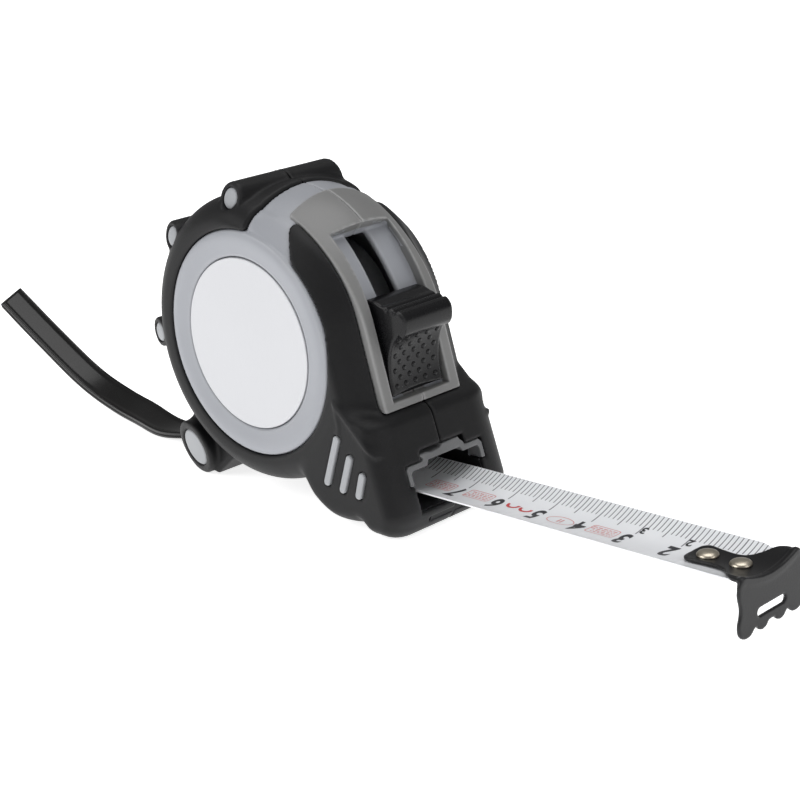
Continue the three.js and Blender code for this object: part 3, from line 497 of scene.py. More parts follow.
def skin(room, field, relax=3):
    """Points and quads of the field's zero surface, facing outwards."""
    field = np.broadcast_to(field, room.shape)
    inside = field < 0
    count = sum(
        inside[
            i : room.shape[0] - 1 + i, j : room.shape[1] - 1 + j, k : room.shape[2] - 1 + k,
        ].astype(np.int8)
        for i, j, k in CORNERS
    )
    cells = np.nonzero((count > 0) & (count < 8))
    index = np.full(count.shape, -1)
    index[cells] = np.arange(len(cells[0]))
    cells = np.stack(cells, 1)
    total = np.zeros((len(cells), 3))
    crossings = np.zeros(len(cells))
    for a in CORNERS:
        for n in range(3):
            if a[n]:
                continue
            b = tuple(1 if m == n else c for m, c in enumerate(a))
            fa = field[tuple((cells + a).T)]
            fb = field[tuple((cells + b).T)]
            cross = (fa < 0) != (fb < 0)
            t = np.where(cross, fa / np.where(cross, fa - fb, 1), 0)
            spot = np.array(a) + t[:, None] * (np.array(b) - np.array(a))
            total += spot * cross[:, None]
            crossings += cross
    points = cells + total / crossings[:, None]
    quads = []
    for n in range(3):
        m, o = (n + 1) % 3, (n + 2) % 3
        one, two = [slice(None)] * 3, [slice(None)] * 3
        for axis in (m, o):
            one[axis] = two[axis] = slice(1, -1)
        one[n], two[n] = slice(0, -1), slice(1, None)
        start = np.stack(np.nonzero(inside[tuple(one)] != inside[tuple(two)]), 1)
        start[:, m] += 1
        start[:, o] += 1
        out = inside[tuple(start.T)]
        ring = []
        for dm, do in ((-1, -1), (0, -1), (0, 0), (-1, 0)):
            cell = start.copy()
            cell[:, m] += dm
            cell[:, o] += do
            ring.append(index[tuple(cell.T)])
        ring = np.stack(ring, 1)
        ring[~out] = ring[~out][:, ::-1]
        quads.append(ring)
    quads = np.concatenate(quads)
    edges = np.concatenate([quads[:, [0, 1]], quads[:, [1, 2]], quads[:, [2, 3]], quads[:, [3, 0]]])
    for _ in range(relax):
        near = np.zeros_like(points)
        for n in range(3):
            near[:, n] = np.bincount(edges[:, 0], points[edges[:, 1], n], len(points))
        degree = np.bincount(edges[:, 0], minlength=len(points))
        points = points + 0.5 * (near / degree[:, None] - points)
        value = sampled(field, points)
        slope = np.stack(
            [sampled(field, points + d) - sampled(field, points - d) for d in 0.5 * np.eye(3)], 1
        )
        pull = value[:, None] * slope / (np.sum(slope**2, 1)[:, None] + 1e-9)
        points -= np.clip(pull, -0.6, 0.6)
    return points * room.step + room.corner, quads


def spline(knots, per=8):
    """A Catmull-Rom run through the knots."""
    knots = np.array(knots, float)
    run = []
    for i in range(len(knots) - 1):
        a, b, c, d = knots[max(i - 1, 0)], knots[i], knots[i + 1], knots[min(i + 2, len(knots) - 1)]
        for k in range(per):
            t = k / per
            v0, v1 = (c - a) / 2, (d - b) / 2
            run.append((2 * b - 2 * c + v0 + v1) * t**3 + (-3 * b + 3 * c - 2 * v0 - v1) * t**2 + v0 * t + b)
    run.append(knots[-1])
    return np.array(run)


def arc(centre, radius, start, end, count):
    return [polar(centre, radius, a) for a in np.linspace(start, end, count)]


# ---- Case form ----------------------------------------------------------------------------------------
def body_outline():
    reach = math.hypot(FRAME_FOOT[0] - BODY[0], FRAME_FOOT[1] - BODY[1])
    lean = math.degrees(math.atan2(FRAME_FOOT[1] - BODY[1], FRAME_FOOT[0] - BODY[0]))
    touch = lean + math.degrees(math.acos(BODY_R / reach))
    return arc(BODY, BODY_R, touch, 290, 110) + [(33.2, MOUTH_TOP), FRAME_FOOT]


def nose_outline():
    sole = spline([(16.1, 9.6), (18, 7.1), (21.6, 5.2), (25.4, 5.2), (28, 5.9), (30.2, 5.6), (32.2, 4.2)])
    rear = arc((0, AXIS_Z), 27.8, -21, -52, 16)
    return rear + [tuple(p) for p in sole] + [(34.5, 4.2), (34.9, 5.2), (29.9, 20.4), (29.2, 21)]


def pillow(side, wide, across, inwards, thick):
    """A slab whose shoulder is a quarter ellipse; side is the distance to the widest outline."""
    p, q = (side + inwards) / inwards, (wide - (HALF - across)) / across
    rim = np.hypot(np.maximum(p, 0), np.maximum(q, 0)) + np.minimum(np.maximum(p, q), 0) - 1
    return rim * thick


def case_fields(room):
    """The outer form of the case, and the distances that its pieces are cut by."""
    x, y, z = room.x, room.y, room.z
    wide = np.abs(y)
    side = room.outline(body_outline(), x, z)
    crown = ramp(z, 38, 56) * ramp(x, -7, 4)
    lifted = side + crown * (2.3 * (np.minimum(wide, 11) / 9.5) ** 2 - 1.1)
    rear = pillow(lifted, wide, 6.7, 5.8, 6.0)
    hollow = 0.4 * np.clip(1 - ((wide - 13.0) / 2.8) ** 2, 0, 1) * ramp(x, 13, 20)
    slope = ((wide - 10.2) * 4.6 + (side + 0.95) * 6.3) / 7.8 + hollow
    front = both(both(lifted, wide - HALF, 0.8), slope, 0.9)
    share = ramp(x, 0.5, 6) * ramp(z, 14, 21)
    form = rear * (1 - share) + front * share
    core = room.outline(nose_outline(), x, z)
    p, q = core / 4.2, (wide - 10) / 6.8
    nose = (np.hypot(np.maximum(p, 0), np.maximum(q, 0)) + np.minimum(np.maximum(p, q), 0) - 1) * 4.6
    ledge = (z - 23.3 + 0.22 * (x - FRAME_FOOT[0])) * 0.98
    nose = both(nose, ledge, 1.6)
    form = both(form, wide - WIDEST + 0.25, 0.3)
    whole = both(either(form, nose, 1.8), wide - WIDEST + 0.25, 0.3)
    return {"wide": wide, "side": side, "lifted": lifted, "form": whole, "bare": form}


def shell_zones(room, wide):
    """Distances to the parts of the outside where the grey shell shows."""
    x, z = room.x, room.z
    ring = np.hypot(x, z - AXIS_Z) - RING_R
    tip = [(10.1, 56.7), (10.2, 58.0), (11.4, 58.8)]
    panel = spline([(15.7, 48.0), (13.7, 51.4), (11.6, 54.5), *tip, (13.5, 60.4), (20, 75)])
    wedge = room.outline(
        [(GRIP_FRONT, 44), (15.6, 44)] + [tuple(p) for p in panel] + [(GRIP_FRONT, 75)], x, z
    )
    plate = np.maximum(np.maximum(wide - FRAME_HALF, FRAME_FOOT[1] - z), GRIP_FRONT - x)
    return ring, wedge, plate


def track_fields(room, wide):
    around = np.hypot(room.x - TRACK[0], room.z - TRACK[1])
    angle = np.degrees(np.arctan2(room.z - TRACK[1], room.x - TRACK[0]))
    middle, spread = (WINDOW[0] + WINDOW[1]) / 2, (WINDOW[1] - WINDOW[0]) / 2
    ends = np.radians(np.abs(angle - middle) - spread) * TRACK_R
    window = both(both(wide - WINDOW_HALF, TRACK_R - around), ends, 0.3)
    slot = both(both(wide - 2.75, TRACK_R - 8 - around), ends, 0.2)
    return around, window, slot


def mouth_field(room, wide, grown):
    z = room.z
    lower = np.maximum(np.maximum(wide - MOUTH_HALF - grown, z - MOUTH_TOP - grown), MOUTH_LOW - z)
    step = np.maximum(np.maximum(wide - STEP_HALF - grown, z - MOUTH_TOP - STEP_UP - grown), MOUTH_LOW - z)
    return np.minimum(lower, step)


def screw_holes(room, radius, floor):
    holes = [
        np.maximum(np.hypot(room.x - px, room.z - pz) - radius, floor - room.y) for px, pz in SCREW_PLACES
    ]
    return np.minimum(np.minimum(holes[0], holes[1]), holes[2])


def half_room(sign, step=0.36):
    span = (-17.6, 0.6) if sign < 0 else (-0.6, 17.6)
    return Room((-39.5, span[0], -0.8), (41.5, span[1], 65.4), step)


def grip_half(sign):
    room = half_room(sign)
    x, y, z = room.x, room.y, room.z
    case = case_fields(room)
    wide, form = case["wide"], case["form"]
    solid = form
    for (px, pz), (_, turn) in zip(BAR_PLACES, BARS):
        flash = 0.22 * np.exp(-((wide / 0.6) ** 2))
        rod = np.hypot(x - px, z - pz) - BAR_R - flash
        solid = either(solid, both(rod, wide - BAR_HALF + end_slant(x - px, z - pz, turn), 0.55), 0.6)
    lx, lz = LUG
    web = room.outline(
        [(lx - LUG_R + 0.5, lz + 1), (lx + LUG_R - 1, lz - LUG_R + 0.7), (-8, 9), (-20, 19)], x, z,
    )
    lug_end = wide - BAR_HALF + end_slant(x - lx, z - lz, LUG_ANGLE)
    lug = either(both(np.hypot(x - lx, z - lz) - LUG_R, lug_end, 0.7), both(web, wide - 12.2, 0.8), 0.8)
    strap_room = np.maximum(np.maximum(wide - 4.7, x - lx - LUG_R + 1.4), z - lz - LUG_R - 1)
    solid = either(solid, without(lug, strap_room, 0.5), 1.0)
    solid = np.maximum(solid, z - HIGHEST)
    waist = 0.5 * np.exp(-(((wide - 8.4) / 1.6) ** 2)) * ramp(-x, 2, 10)
    solid = solid + waist * ramp(np.abs(form), 1.2, 0.2)
    inner = case["bare"] + RUBBER_WALL
    solid = without(solid, either(inner, form + RUBBER_WALL), 0.25)
    ring, wedge, plate = shell_zones(room, wide)
    solid = without(solid, ring - SEAM, 0.45)
    solid = without(solid, wedge - SEAM, 0.6)
    solid = without(solid, plate - SEAM, 0.4)
    turns = [turn for _, turn in BARS] + [LUG_ANGLE]
    for (px, pz), radius, turn in zip(BAR_PLACES + [LUG], [CAP_R] * 3 + [LUG_CAP_R], turns):
        floor = 12.4 - end_slant(x - px, z - pz, turn) - wide
        solid = without(solid, np.maximum(np.hypot(x - px, z - pz) - radius - 0.12, floor), 0.25)
    for x0, z0, x1, z1 in STRIPES:
        run = room.outline([(x0, z0), (x1, z1), (x0, z0)], x, z)
        solid = without(solid, np.maximum(np.abs(run) - 0.88, 15.6 - wide), 0.3)
    crease = room.outline([(24.2, 25.9), (28.4, 22.2), (33.9, 17.2), (28.4, 22.2)], x, z)
    lower = room.outline([(24.4, 25.3), (25.2, 21.4), (24.3, 17.6), (25.2, 21.4)], x, z)
    fold = 0.42 * np.exp(-((crease / 0.45) ** 2)) + 0.2 * np.exp(-((lower / 0.45) ** 2))
    solid = np.maximum(solid - fold * ramp(wide, 12.2, 14.5), wide - WIDEST)
    solid = without(solid, both(mouth_field(room, wide, 0), 20 - x), 0.35)
    pocket = np.maximum(np.maximum(mouth_field(room, wide, 1.2), 33.6 - x), 10.1 - z)
    pocket = np.minimum(
        pocket, np.maximum(np.maximum(np.abs(wide - 2.9) - 3.1, np.abs(z - 14.5) - 1.35), 33.6 - x),
    )
    solid = without(solid, pocket, 0.2)
    lip = np.maximum(np.maximum(wide - 7.0, np.abs(z - 3.1) - 0.45), 38.0 - x)
    solid = without(solid, lip, 0.2)
    solid = both(solid, -z, 0.3)
    if sign > 0:
        solid = without(solid, screw_holes(room, 2.35, 8), 0.35)
    solid = both(solid, 0.1 - y * sign, 0.3)
    return skin(room, solid)


def shell_half(sign):
    room = half_room(sign)
    x, y, z = room.x, room.y, room.z
    case = case_fields(room)
    wide = case["wide"]
    ring, wedge, _ = shell_zones(room, wide)
    around, window, slot = track_fields(room, wide)
    radius = ring + RING_R
    crest = RING_R - 1.6
    slope_in = 0.4 * (1 - ramp(radius, LABEL_R + 0.2, crest))
    slope_out = 0.35 * ramp(radius, crest, RING_R + 0.4)
    rim = both(both(ring, wide - (HALF - slope_in - slope_out), 0.5), 13.0 - wide)
    dropped = case["bare"] + SHELL_DROP
    grey = both(
        dropped, np.minimum(wedge, np.maximum(np.maximum(wide - FRAME_HALF, GRIP_FRONT - x), 50 - z)), 0.3,
    )
    backing = case["form"] + BACKING_DROP
    solid = np.minimum(rim, np.minimum(grey, backing))
    room_inside = np.maximum(np.maximum(case["bare"] + 3.0, wide - 13.0), around - TRACK_R + RAIL)
    passage = room.outline(
        [(2, 14), (10, 7.4), (20, 5.4), (35, MOUTH_LOW), (35, MOUTH_TOP), (29.6, 16), (28.6, 24), (18, 26)],
        x, z,
    )
    solid = without(solid, both(passage, wide - MOUTH_HALF), 0.2)
    solid = without(solid, room_inside)
    solid = without(solid, window, 0.15)
    solid = without(solid, slot, 0.4)
    label_seat = np.maximum(radius - LABEL_R - 0.22, 15.2 - wide)
    solid = without(solid, label_seat, 0.15)
    solid = without(solid, both(mouth_field(room, wide, 0.4), 20 - x))
    solid = without(solid, np.maximum(np.maximum(mouth_field(room, wide, 1.3), 33.4 - x), 9.9 - z))
    if sign > 0:
        solid = without(solid, screw_holes(room, 2.2, 12.2), 0.3)
    solid = both(solid, 0.06 - y * sign, 0.22)
    return skin(room, solid)


def plate_half(sign):
    """The raised front plate round the window."""
    room = Room((6.5, -10.9 if sign < 0 else -0.5, 22.5), (33.5, 0.5 if sign < 0 else 10.9, 63.2), 0.24)
    x, y, z = room.x, room.y, room.z
    case = case_fields(room)
    wide = case["wide"]
    window = track_fields(room, wide)[1]
    solid = both(case["lifted"], wide - FRAME_HALF, 0.4)
    solid = both(solid, PLATE_REAR - x + 0.03 * wide, 0.4)
    solid = both(solid, FRAME_FOOT[1] - z, 0.4)
    solid = both(solid, -(case["bare"] + 2.6))
    solid = without(solid, window, 0.3)
    solid = both(solid, 0.05 - y * sign, 0.16)
    return skin(room, solid, 2)


def dark_inside(points, quads):
    """Quads of the blade's way out, whose grey shell gets the black rubber finish as painted shade."""
    x, y, z = points[quads].mean(1).T
    return (np.abs(y) < MOUTH_HALF + 0.6) & (z < MOUTH_TOP + 3.4) & (x > 12) & (z < 0.1 * x + 14)


for side_name, sign in (("right", -1), ("left", 1)):
    points, quads = shell_half(sign)
    shell = make(
        f"{side_name}_shell_moulding", points, quads, SHELL, "case",
        replaces=(f"{side_name}_shell",),
    )
    mark_corners(shell, points, quads, 14)
    # The grey shell inside the blade's way out takes the black rubber finish as painted shade.
    shell.data.materials.append(GRIP.material)
    shell.data.polygons.foreach_set("material_index", dark_inside(points, quads).astype(np.int32))
    points, quads = plate_half(sign)
    plate = make(f"{side_name}_front_plate", points, quads, PLATE, "case")
    mark_corners(plate, points, quads, 26)
    points, quads = grip_half(sign)
    grip = make(
        f"{side_name}_grip_moulding", points, quads, GRIP, "case", replaces=(f"{side_name}_grip",),
    )
    mark_corners(grip, points, quads, 14)


# ---- Label discs, caps, inlays and screws -------------------------------------------------------------
def disc_profile(radius, base, face, dome, edge=0.12):
    run = [(radius - edge, base), (radius, base + edge), (radius, face - edge), (radius - edge, face)]
    run += [(radius * s, face + dome * (1 - s * s)) for s in (0.85, 0.6, 0.3, 0.02)]
    return run


for side_name, sign in (("right", -1), ("left", 1)):
    profile = [(r, sign * h) for r, h in disc_profile(LABEL_R, 15.4, 16.14, 0.03)]
    turned(
        f"{side_name}_label_disc", profile, (0, 0, AXIS_Z), LABEL, "case", 160,
        (f"{side_name}_label",),
    )
    for i, (px, pz) in enumerate(BAR_PLACES):
        profile = [(r, sign * h) for r, h in disc_profile(CAP_R, 12.6, 13.5, 0.16, 0.2)]
        stands_for = (f"bar_cap_{side_name}_{i + 1}",)
        name = f"bar_end_{side_name}_{i + 1}"
        turned(name, profile, (px, 0, pz), CAP, "case", 48, stands_for, slant=BARS[i][1])
    profile = [(r, sign * h) for r, h in disc_profile(LUG_CAP_R, 12.6, 13.5, 0.18, 0.28)]
    stands_for = (f"lug_cap_{side_name}",)
    turned(
        f"lug_end_{side_name}", profile, (LUG[0], 0, LUG[1]), CAP, "case", 64, stands_for,
        slant=LUG_ANGLE,
    )
    for i, (x0, z0, x1, z1) in enumerate(STRIPES):
        room = Room((min(x0, x1) - 2, 14.9, min(z0, z1) - 2), (max(x0, x1) + 2, 17.6, max(z0, z1) + 2), 0.16)
        run = room.outline([(x0, z0), (x1, z1), (x0, z0)], room.x, room.z)
        points, quads = skin(room, both(np.abs(run) - 0.74, both(room.y - 16.95, 15.3 - room.y), 0.3))
        if sign < 0:
            points[:, 1] *= -1
            quads = quads[:, ::-1]
        make(
            f"inlay_{side_name}_{i + 1}", points, quads, CAP, "case",
            replaces=(f"nose_stripe_{side_name}_{i + 1}",),
        )

for i, (px, pz) in enumerate(SCREW_PLACES):
    room = Room((-2.4, 11.6, -2.4), (2.4, 14.1, 2.4), 0.1)
    radius = np.hypot(room.x, room.z)
    head = both(both(radius - 2.0, 12.2 - room.y, 0.15), room.y - 13.7 + 0.05 * radius**2, 0.2)
    arms = np.minimum(
        np.maximum(np.abs(room.x) - 0.3, np.abs(room.z) - 1.2),
        np.maximum(np.abs(room.z) - 0.3, np.abs(room.x) - 1.2),
    )
    cross = np.maximum(arms + 0.25 * (13.6 - room.y), 12.7 - room.y)
    points, quads = skin(room, without(head, cross, 0.08))
    make(
        f"screw_head_{i + 1}", points + np.array([px, 0, pz]), quads, SCREW, "case",
        replaces=(f"case_screw_{i + 1}",),
    )


# ---- Mouth bracket ------------------------------------------------------------------------------------
BRACKET_EDGE = [
    (-10.3, 10.4), (-10.3, 13.2), (-9.7, 13.9), (-5.8, 13.9), (-5.6, 14.3), (-6.3, 15.1), (-4.2, 15.2),
    (-3.0, 14.9),
    (-0.6, 15.0), (0.2, 15.6), (4.6, 15.7), (5.0, 15.0), (5.4, 14.8), (5.9, 13.9), (9.7, 13.9), (10.3, 13.2),
    (10.3, 10.4), (9.3, 10.4), (9.25, 12.4), (8.9, 12.85), (4.9, 12.85), (4.3, 13.8), (-4.3, 13.8),
    (-4.9, 12.85),
    (-8.9, 12.85), (-9.25, 12.4), (-9.3, 10.4),
]
room = Room((31.6, -10.9, 9.4), (38.6, 10.9, 16.4), 0.17)
case = case_fields(room)
sheet = room.outline(BRACKET_EDGE, room.y, room.z)
sheet = both(both(sheet, 33.7 - room.x, 0.1), case["form"] + 0.12, 0.12)
points, quads = skin(room, sheet, 1)
make("mouth_bracket", points, quads, BRACKET, "case", replaces=("mouth_frame",))


# ---- Thumb lock ---------------------------------------------------------------------------------------
def button_outline():
    seat = TRACK_R + 0.3
    foot = polar(TRACK, seat + 1.2, 5.4)
    face = spline([foot, (29.75, 29.6), (29.95, 33.4), (31.0, 36.2), (32.5, 38.0)], 8)
    lip = spline([(33.2, 37.6), (33.95, 38.7), (34.15, 40.2), (33.9, 41.6), (33.0, 42.55)], 6)
    ridges = [(32.3, 42.85), (31.7, 42.35), (31.1, 42.9), (30.5, 43.15), (29.9, 42.6), (29.3, 43.15)]
    crown = spline([(28.2, 43.3), (26.6, 43.85), polar(TRACK, seat + 0.9, 28.6)], 6)
    seat_run = arc(TRACK, seat, 28.4, 5.4, 20)
    return [tuple(p) for p in [*face, *lip]] + ridges + [tuple(p) for p in crown] + seat_run


room = Room((20.0, -8.0, 24.2), (35.6, 8.0, 45.8), 0.2)
wide = np.abs(room.y)
profile = room.outline(button_outline(), room.x, room.z)
around = np.hypot(room.x - TRACK[0], room.z - TRACK[1])
angle = np.degrees(np.arctan2(room.z - TRACK[1], room.x - TRACK[0]))
hollow = 0.35 * np.clip(1 - (wide / 6.2) ** 2, 0, 1) * ramp(room.z, 38.4, 36.8)
flank = wide - 6.9 + 0.35 * ramp(room.x, 31.0, 34.5)
hood = both(profile + hollow, flank, 0.55)
flange = np.maximum(
    np.maximum(wide - 7.3, 46.08 - around), np.maximum(around - 46.75, np.abs(angle - 16.9) - 11.7),
)
stem = np.maximum(np.maximum(wide - 2.3, 44.4 - around), np.maximum(around - 46.7, np.abs(angle - 17) - 8.5))
button_field = np.minimum(np.minimum(hood, flange), stem)
points, quads = skin(room, button_field, 2)
button = make("thumb_button", points, quads, BUTTON, "lock", replaces=("lock_button",))
mark_corners(button, points, quads, 24)


def grown_studs(seats, radius, height, finish):
    """Studs set by Geometry Nodes on seat points, each turned to the direction held with its seat."""
    tree = bpy.data.node_groups.new("thumb_stud_layout", "GeometryNodeTree")
    face = tree.interface
    face.new_socket("Seats", in_out="INPUT", socket_type="NodeSocketGeometry")
    size = face.new_socket("Stud radius", in_out="INPUT", socket_type="NodeSocketFloat")
    rise = face.new_socket("Stud height", in_out="INPUT", socket_type="NodeSocketFloat")
    face.new_socket("Studs", in_out="OUTPUT", socket_type="NodeSocketGeometry")
    nodes, links = tree.nodes, tree.links
    inlet, outlet = nodes.new("NodeGroupInput"), nodes.new("NodeGroupOutput")
    ball = nodes.new("GeometryNodeMeshUVSphere")
    ball.inputs["Segments"].default_value = 14
    ball.inputs["Rings"].default_value = 8
    links.new(inlet.outputs["Stud radius"], ball.inputs["Radius"])
    squat = nodes.new("ShaderNodeCombineXYZ")
    share = nodes.new("ShaderNodeMath")
    share.operation = "DIVIDE"
    links.new(inlet.outputs["Stud height"], share.inputs[0])
    links.new(inlet.outputs["Stud radius"], share.inputs[1])
    squat.inputs[0].default_value = squat.inputs[1].default_value = 1.0
    links.new(share.outputs[0], squat.inputs[2])
    held = nodes.new("GeometryNodeInputNamedAttribute")
    held.data_type = "FLOAT_VECTOR"
    held.inputs["Name"].default_value = "seat_normal"
    aligned = nodes.new("FunctionNodeAlignRotationToVector")
    aligned.axis = "Z"
    links.new(held.outputs["Attribute"], aligned.inputs["Vector"])
    spread = nodes.new("GeometryNodeInstanceOnPoints")
    links.new(inlet.outputs["Seats"], spread.inputs["Points"])
    links.new(ball.outputs["Mesh"], spread.inputs["Instance"])
    links.new(aligned.outputs["Rotation"], spread.inputs["Rotation"])
    links.new(squat.outputs[0], spread.inputs["Scale"])
    real = nodes.new("GeometryNodeRealizeInstances")
    coat = nodes.new("GeometryNodeSetMaterial")
    coat.inputs["Material"].default_value = finish.material
    smooth = nodes.new("GeometryNodeSetShadeSmooth")
    links.new(spread.outputs["Instances"], real.inputs[0])
    links.new(real.outputs[0], smooth.inputs["Geometry"])
    links.new(smooth.outputs[0], coat.inputs["Geometry"])
    links.new(coat.outputs[0], outlet.inputs[0])
    modifier = seats.modifiers.new("studs", "NODES")
    modifier.node_group = tree
    modifier[size.identifier] = radius
    modifier[rise.identifier] = height
    graph = bpy.context.evaluated_depsgraph_get()
    mesh = bpy.data.meshes.new_from_object(seats.evaluated_get(graph))
    seats.modifiers.remove(modifier)
    return mesh


def thumb_studs():
    rows, columns = 7, 5
    spots, normals = [], []
    for i in range(rows):
        z = 27.4 + 1.5 * i
        for j in range(columns):
            y = (j - (columns - 1) / 2) * 2.6 + (1.3 if i % 2 else 0)
            if abs(y) > 5.9:
                continue
            column = np.stack([np.linspace(35.2, 24, 400), np.full(400, y), np.full(400, z)], 1)
            grid = (column - room.corner) / room.step
            values = sampled(np.broadcast_to(button_field, room.shape), grid)
            hit = int(np.argmax(values < 0))
            here = grid[hit]
            shift = np.eye(3)
            ahead = [sampled(button_field, (here + step)[None])[0] for step in shift]
            behind = [sampled(button_field, (here - step)[None])[0] for step in shift]
            slope = [b - a for a, b in zip(behind, ahead)]
            spots.append(placed(column[hit])[0])
            normals.append(Vector(slope).normalized())
    mesh = bpy.data.meshes.new("stud_seats")
    mesh.from_pydata([tuple(p) for p in spots], [], [])
    held = mesh.attributes.new("seat_normal", "FLOAT_VECTOR", "POINT")
    for item, normal in zip(held.data, normals):
        item.vector = normal
    seats = bpy.data.objects.new("stud_seats", mesh)
    bpy.context.scene.collection.objects.link(seats)
    studs = bpy.data.objects.new("thumb_studs", grown_studs(seats, 0.00056, 0.00024, BUTTON))
    bpy.context.scene.collection.objects.link(studs)
    bpy.data.objects.remove(seats)
    settle(studs, "lock")


thumb_studs()


# ---- Blade --------------------------------------------------------------------------------------------
SAG = 1.9
SAG_R = (64 + SAG**2) / (2 * SAG)
BLADE_T = 0.3
SPLIT_RUN = 42.0
BLADE_END = 1.8
BEND_RUN = 76.6
COIL_TOUCH = (-114.6, 7.9)


def edge_z(y):
    return SAG_R - SAG - np.sqrt(SAG_R**2 - np.clip(np.asarray(y, float), -8.05, 8.05) ** 2)


def blade_point(run, y, lift):
    """A point at a run back from the hook's face. Past the bend the strip flattens and climbs to the coil."""
    if run <= BEND_RUN:
        return (-run, y, float(edge_z(y)) + lift)
    share = (run - BEND_RUN) / (-COIL_TOUCH[0] - BEND_RUN)
    flat = share * share * (3 - 2 * share)
    middle = -SAG + (COIL_TOUCH[1] + SAG) * share
    level = float(edge_z(y)) * (1 - flat) + middle * flat
    return (-run, y, level + lift)


def blade_strip(name, start, end, replaces=()):
    runs = np.linspace(start, end, int((end - start) / 0.8) + 2)
    ys = np.linspace(-8, 8, 21)
    points, uvs, faces = [], [], []
    for lift in (BLADE_T / 2, -BLADE_T / 2):
        for run in runs:
            for y in ys:
                clip = min(1.0, (8 - 1.4 * max(0.0, 1 - (run - BLADE_END) / 5.2)) / 8)
                points.append(blade_point(run, y * clip, lift))
                uvs.append((run / 100, y * clip / 100 + 0.5))
    n, m = len(ys), len(runs)
    for i in range(m - 1):
        for j in range(n - 1):
            a = i * n + j
            faces.append((a, a + n, a + n + 1, a + 1))
            b = a + m * n
            faces.append((b, b + 1, b + n + 1, b + n))
    rim = [i * n for i in range(m)] + [(m - 1) * n + j for j in range(1, n)]
    rim += [i * n + n - 1 for i in reversed(range(m - 1))] + [j for j in reversed(range(1, n - 1))]
    for a, b in zip(rim, rim[1:] + rim[:1]):
        faces.append((a, a + m * n, b + m * n, b))
    obj = make(name, from_blade(points), faces, BLADE, "tape", replaces=replaces)
    layer = obj.data.uv_layers.new(name="scale")
    for loop in obj.data.loops:
        layer.data[loop.index].uv = uvs[loop.vertex_index]
    outwards(obj)
    sharpen(obj, 50)
    return obj


blade_strip("blade_outer_run", BLADE_END, SPLIT_RUN, replaces=("blade",))
inner_blade = blade_strip("blade_inner_run", SPLIT_RUN, -COIL_TOUCH[0])


# ---- Printed numbers and signs, 0.03 mm above the lacquer ---------------------------------------------
def print_mesh(name, parts, finish):
    """Flat printed shapes laid on the blade; each part is (points, faces) in run and width."""
    mesh = bmesh.new()
    for points, faces in parts:
        verts = [mesh.verts.new((p[0], p[1], 0)) for p in points]
        for f in faces:
            mesh.faces.new([verts[i] for i in f])
    for y in np.arange(-7.5, 7.6, 0.5):
        geometry = list(mesh.verts) + list(mesh.edges) + list(mesh.faces)
        bmesh.ops.bisect_plane(mesh, geom=geometry, plane_co=(0, float(y), 0), plane_no=(0, 1, 0), dist=1e-5)
    mesh.faces.ensure_lookup_table()
    flat = [(v.co.x, v.co.y) for v in mesh.verts]
    mesh.verts.index_update()
    faces = [[v.index for v in f.verts] for f in mesh.faces]
    mesh.free()
    points = [(x, y, float(edge_z(y)) + BLADE_T / 2 + 0.03) for x, y in flat]
    obj = make(name, from_blade(points), faces, finish, "tape", smooth=False)
    up_facing = bmesh.new()
    up_facing.from_mesh(obj.data)
    for f in up_facing.faces:
        if f.normal.z < 0:
            f.normal_flip()
    up_facing.to_mesh(obj.data)
    up_facing.free()
    return obj


def numeral(text, run, across, size, stretch=1.0):
    """A numeral read from the tool's left: its top is towards the right edge."""
    curve = bpy.data.curves.new("numeral", "FONT")
    curve.body = text
    curve.size = size
    curve.offset = size * 0.032
    curve.align_x, curve.align_y = "CENTER", "CENTER"
    obj = bpy.data.objects.new("numeral", curve)
    bpy.context.scene.collection.objects.link(obj)
    mesh = bpy.data.meshes.new_from_object(obj.evaluated_get(bpy.context.evaluated_depsgraph_get()))
    bpy.data.objects.remove(obj)
    points = [(-run - v.co.x * stretch, across - v.co.y) for v in mesh.vertices]
    faces = [tuple(p.vertices) for p in mesh.polygons]
    return points, faces


def band(points_outer, points_inner):
    n = len(points_outer)
    points = list(points_outer) + list(points_inner)
    return points, [(i, (i + 1) % n, n + (i + 1) % n, n + i) for i in range(n)]


def ring_sign(run, across, a, b, line, count=40, power=2.0):
    def loop(grow):
        spots = []
        for k in range(count):
            t = 2 * math.pi * k / count
            c, s = math.cos(t), math.sin(t)
            spots.append((
                -run + math.copysign(abs(c) ** (2 / power), c) * (a - grow),
                across + math.copysign(abs(s) ** (2 / power), s) * (b - grow),
            ))
        return spots

    return band(loop(0), loop(line))


def bow_sign(run, across, radius, line, count=22):
    """A half ring, open towards the left edge."""
    turns = np.radians(np.linspace(170, 370, count))
    outer = [(-run + radius * math.cos(t), across + radius * math.sin(t)) for t in turns]
    inner = [(-run + (radius - line) * math.cos(t), across + (radius - line) * math.sin(t)) for t in turns]
    return outer + inner, [(i, i + 1, count + i + 1, count + i) for i in range(count - 1)]


def dash(run, across, length, width):
    x0, x1, y0, y1 = -run - length / 2, -run + length / 2, across - width / 2, across + width / 2
    return [(x0, y0), (x1, y0), (x1, y1), (x0, y1)], [(0, 1, 2, 3)]


def box_sign(run, across):
    """A thin frame with rows of short dashes, in place of small print."""
    picker = random.Random(int(run * 10))
    parts = [ring_sign(run, across, 3.1, 1.75, 0.16, 48, 9.0)]
    for row in (-1.0, -0.35, 0.35, 1.0):
        spot = -2.5
        while spot < 2.3:
            length = picker.choice((0.35, 0.6, 0.9))
            parts.append(dash(run + spot + length / 2, across + row, length, 0.3))
            spot += length + 0.28
    return parts


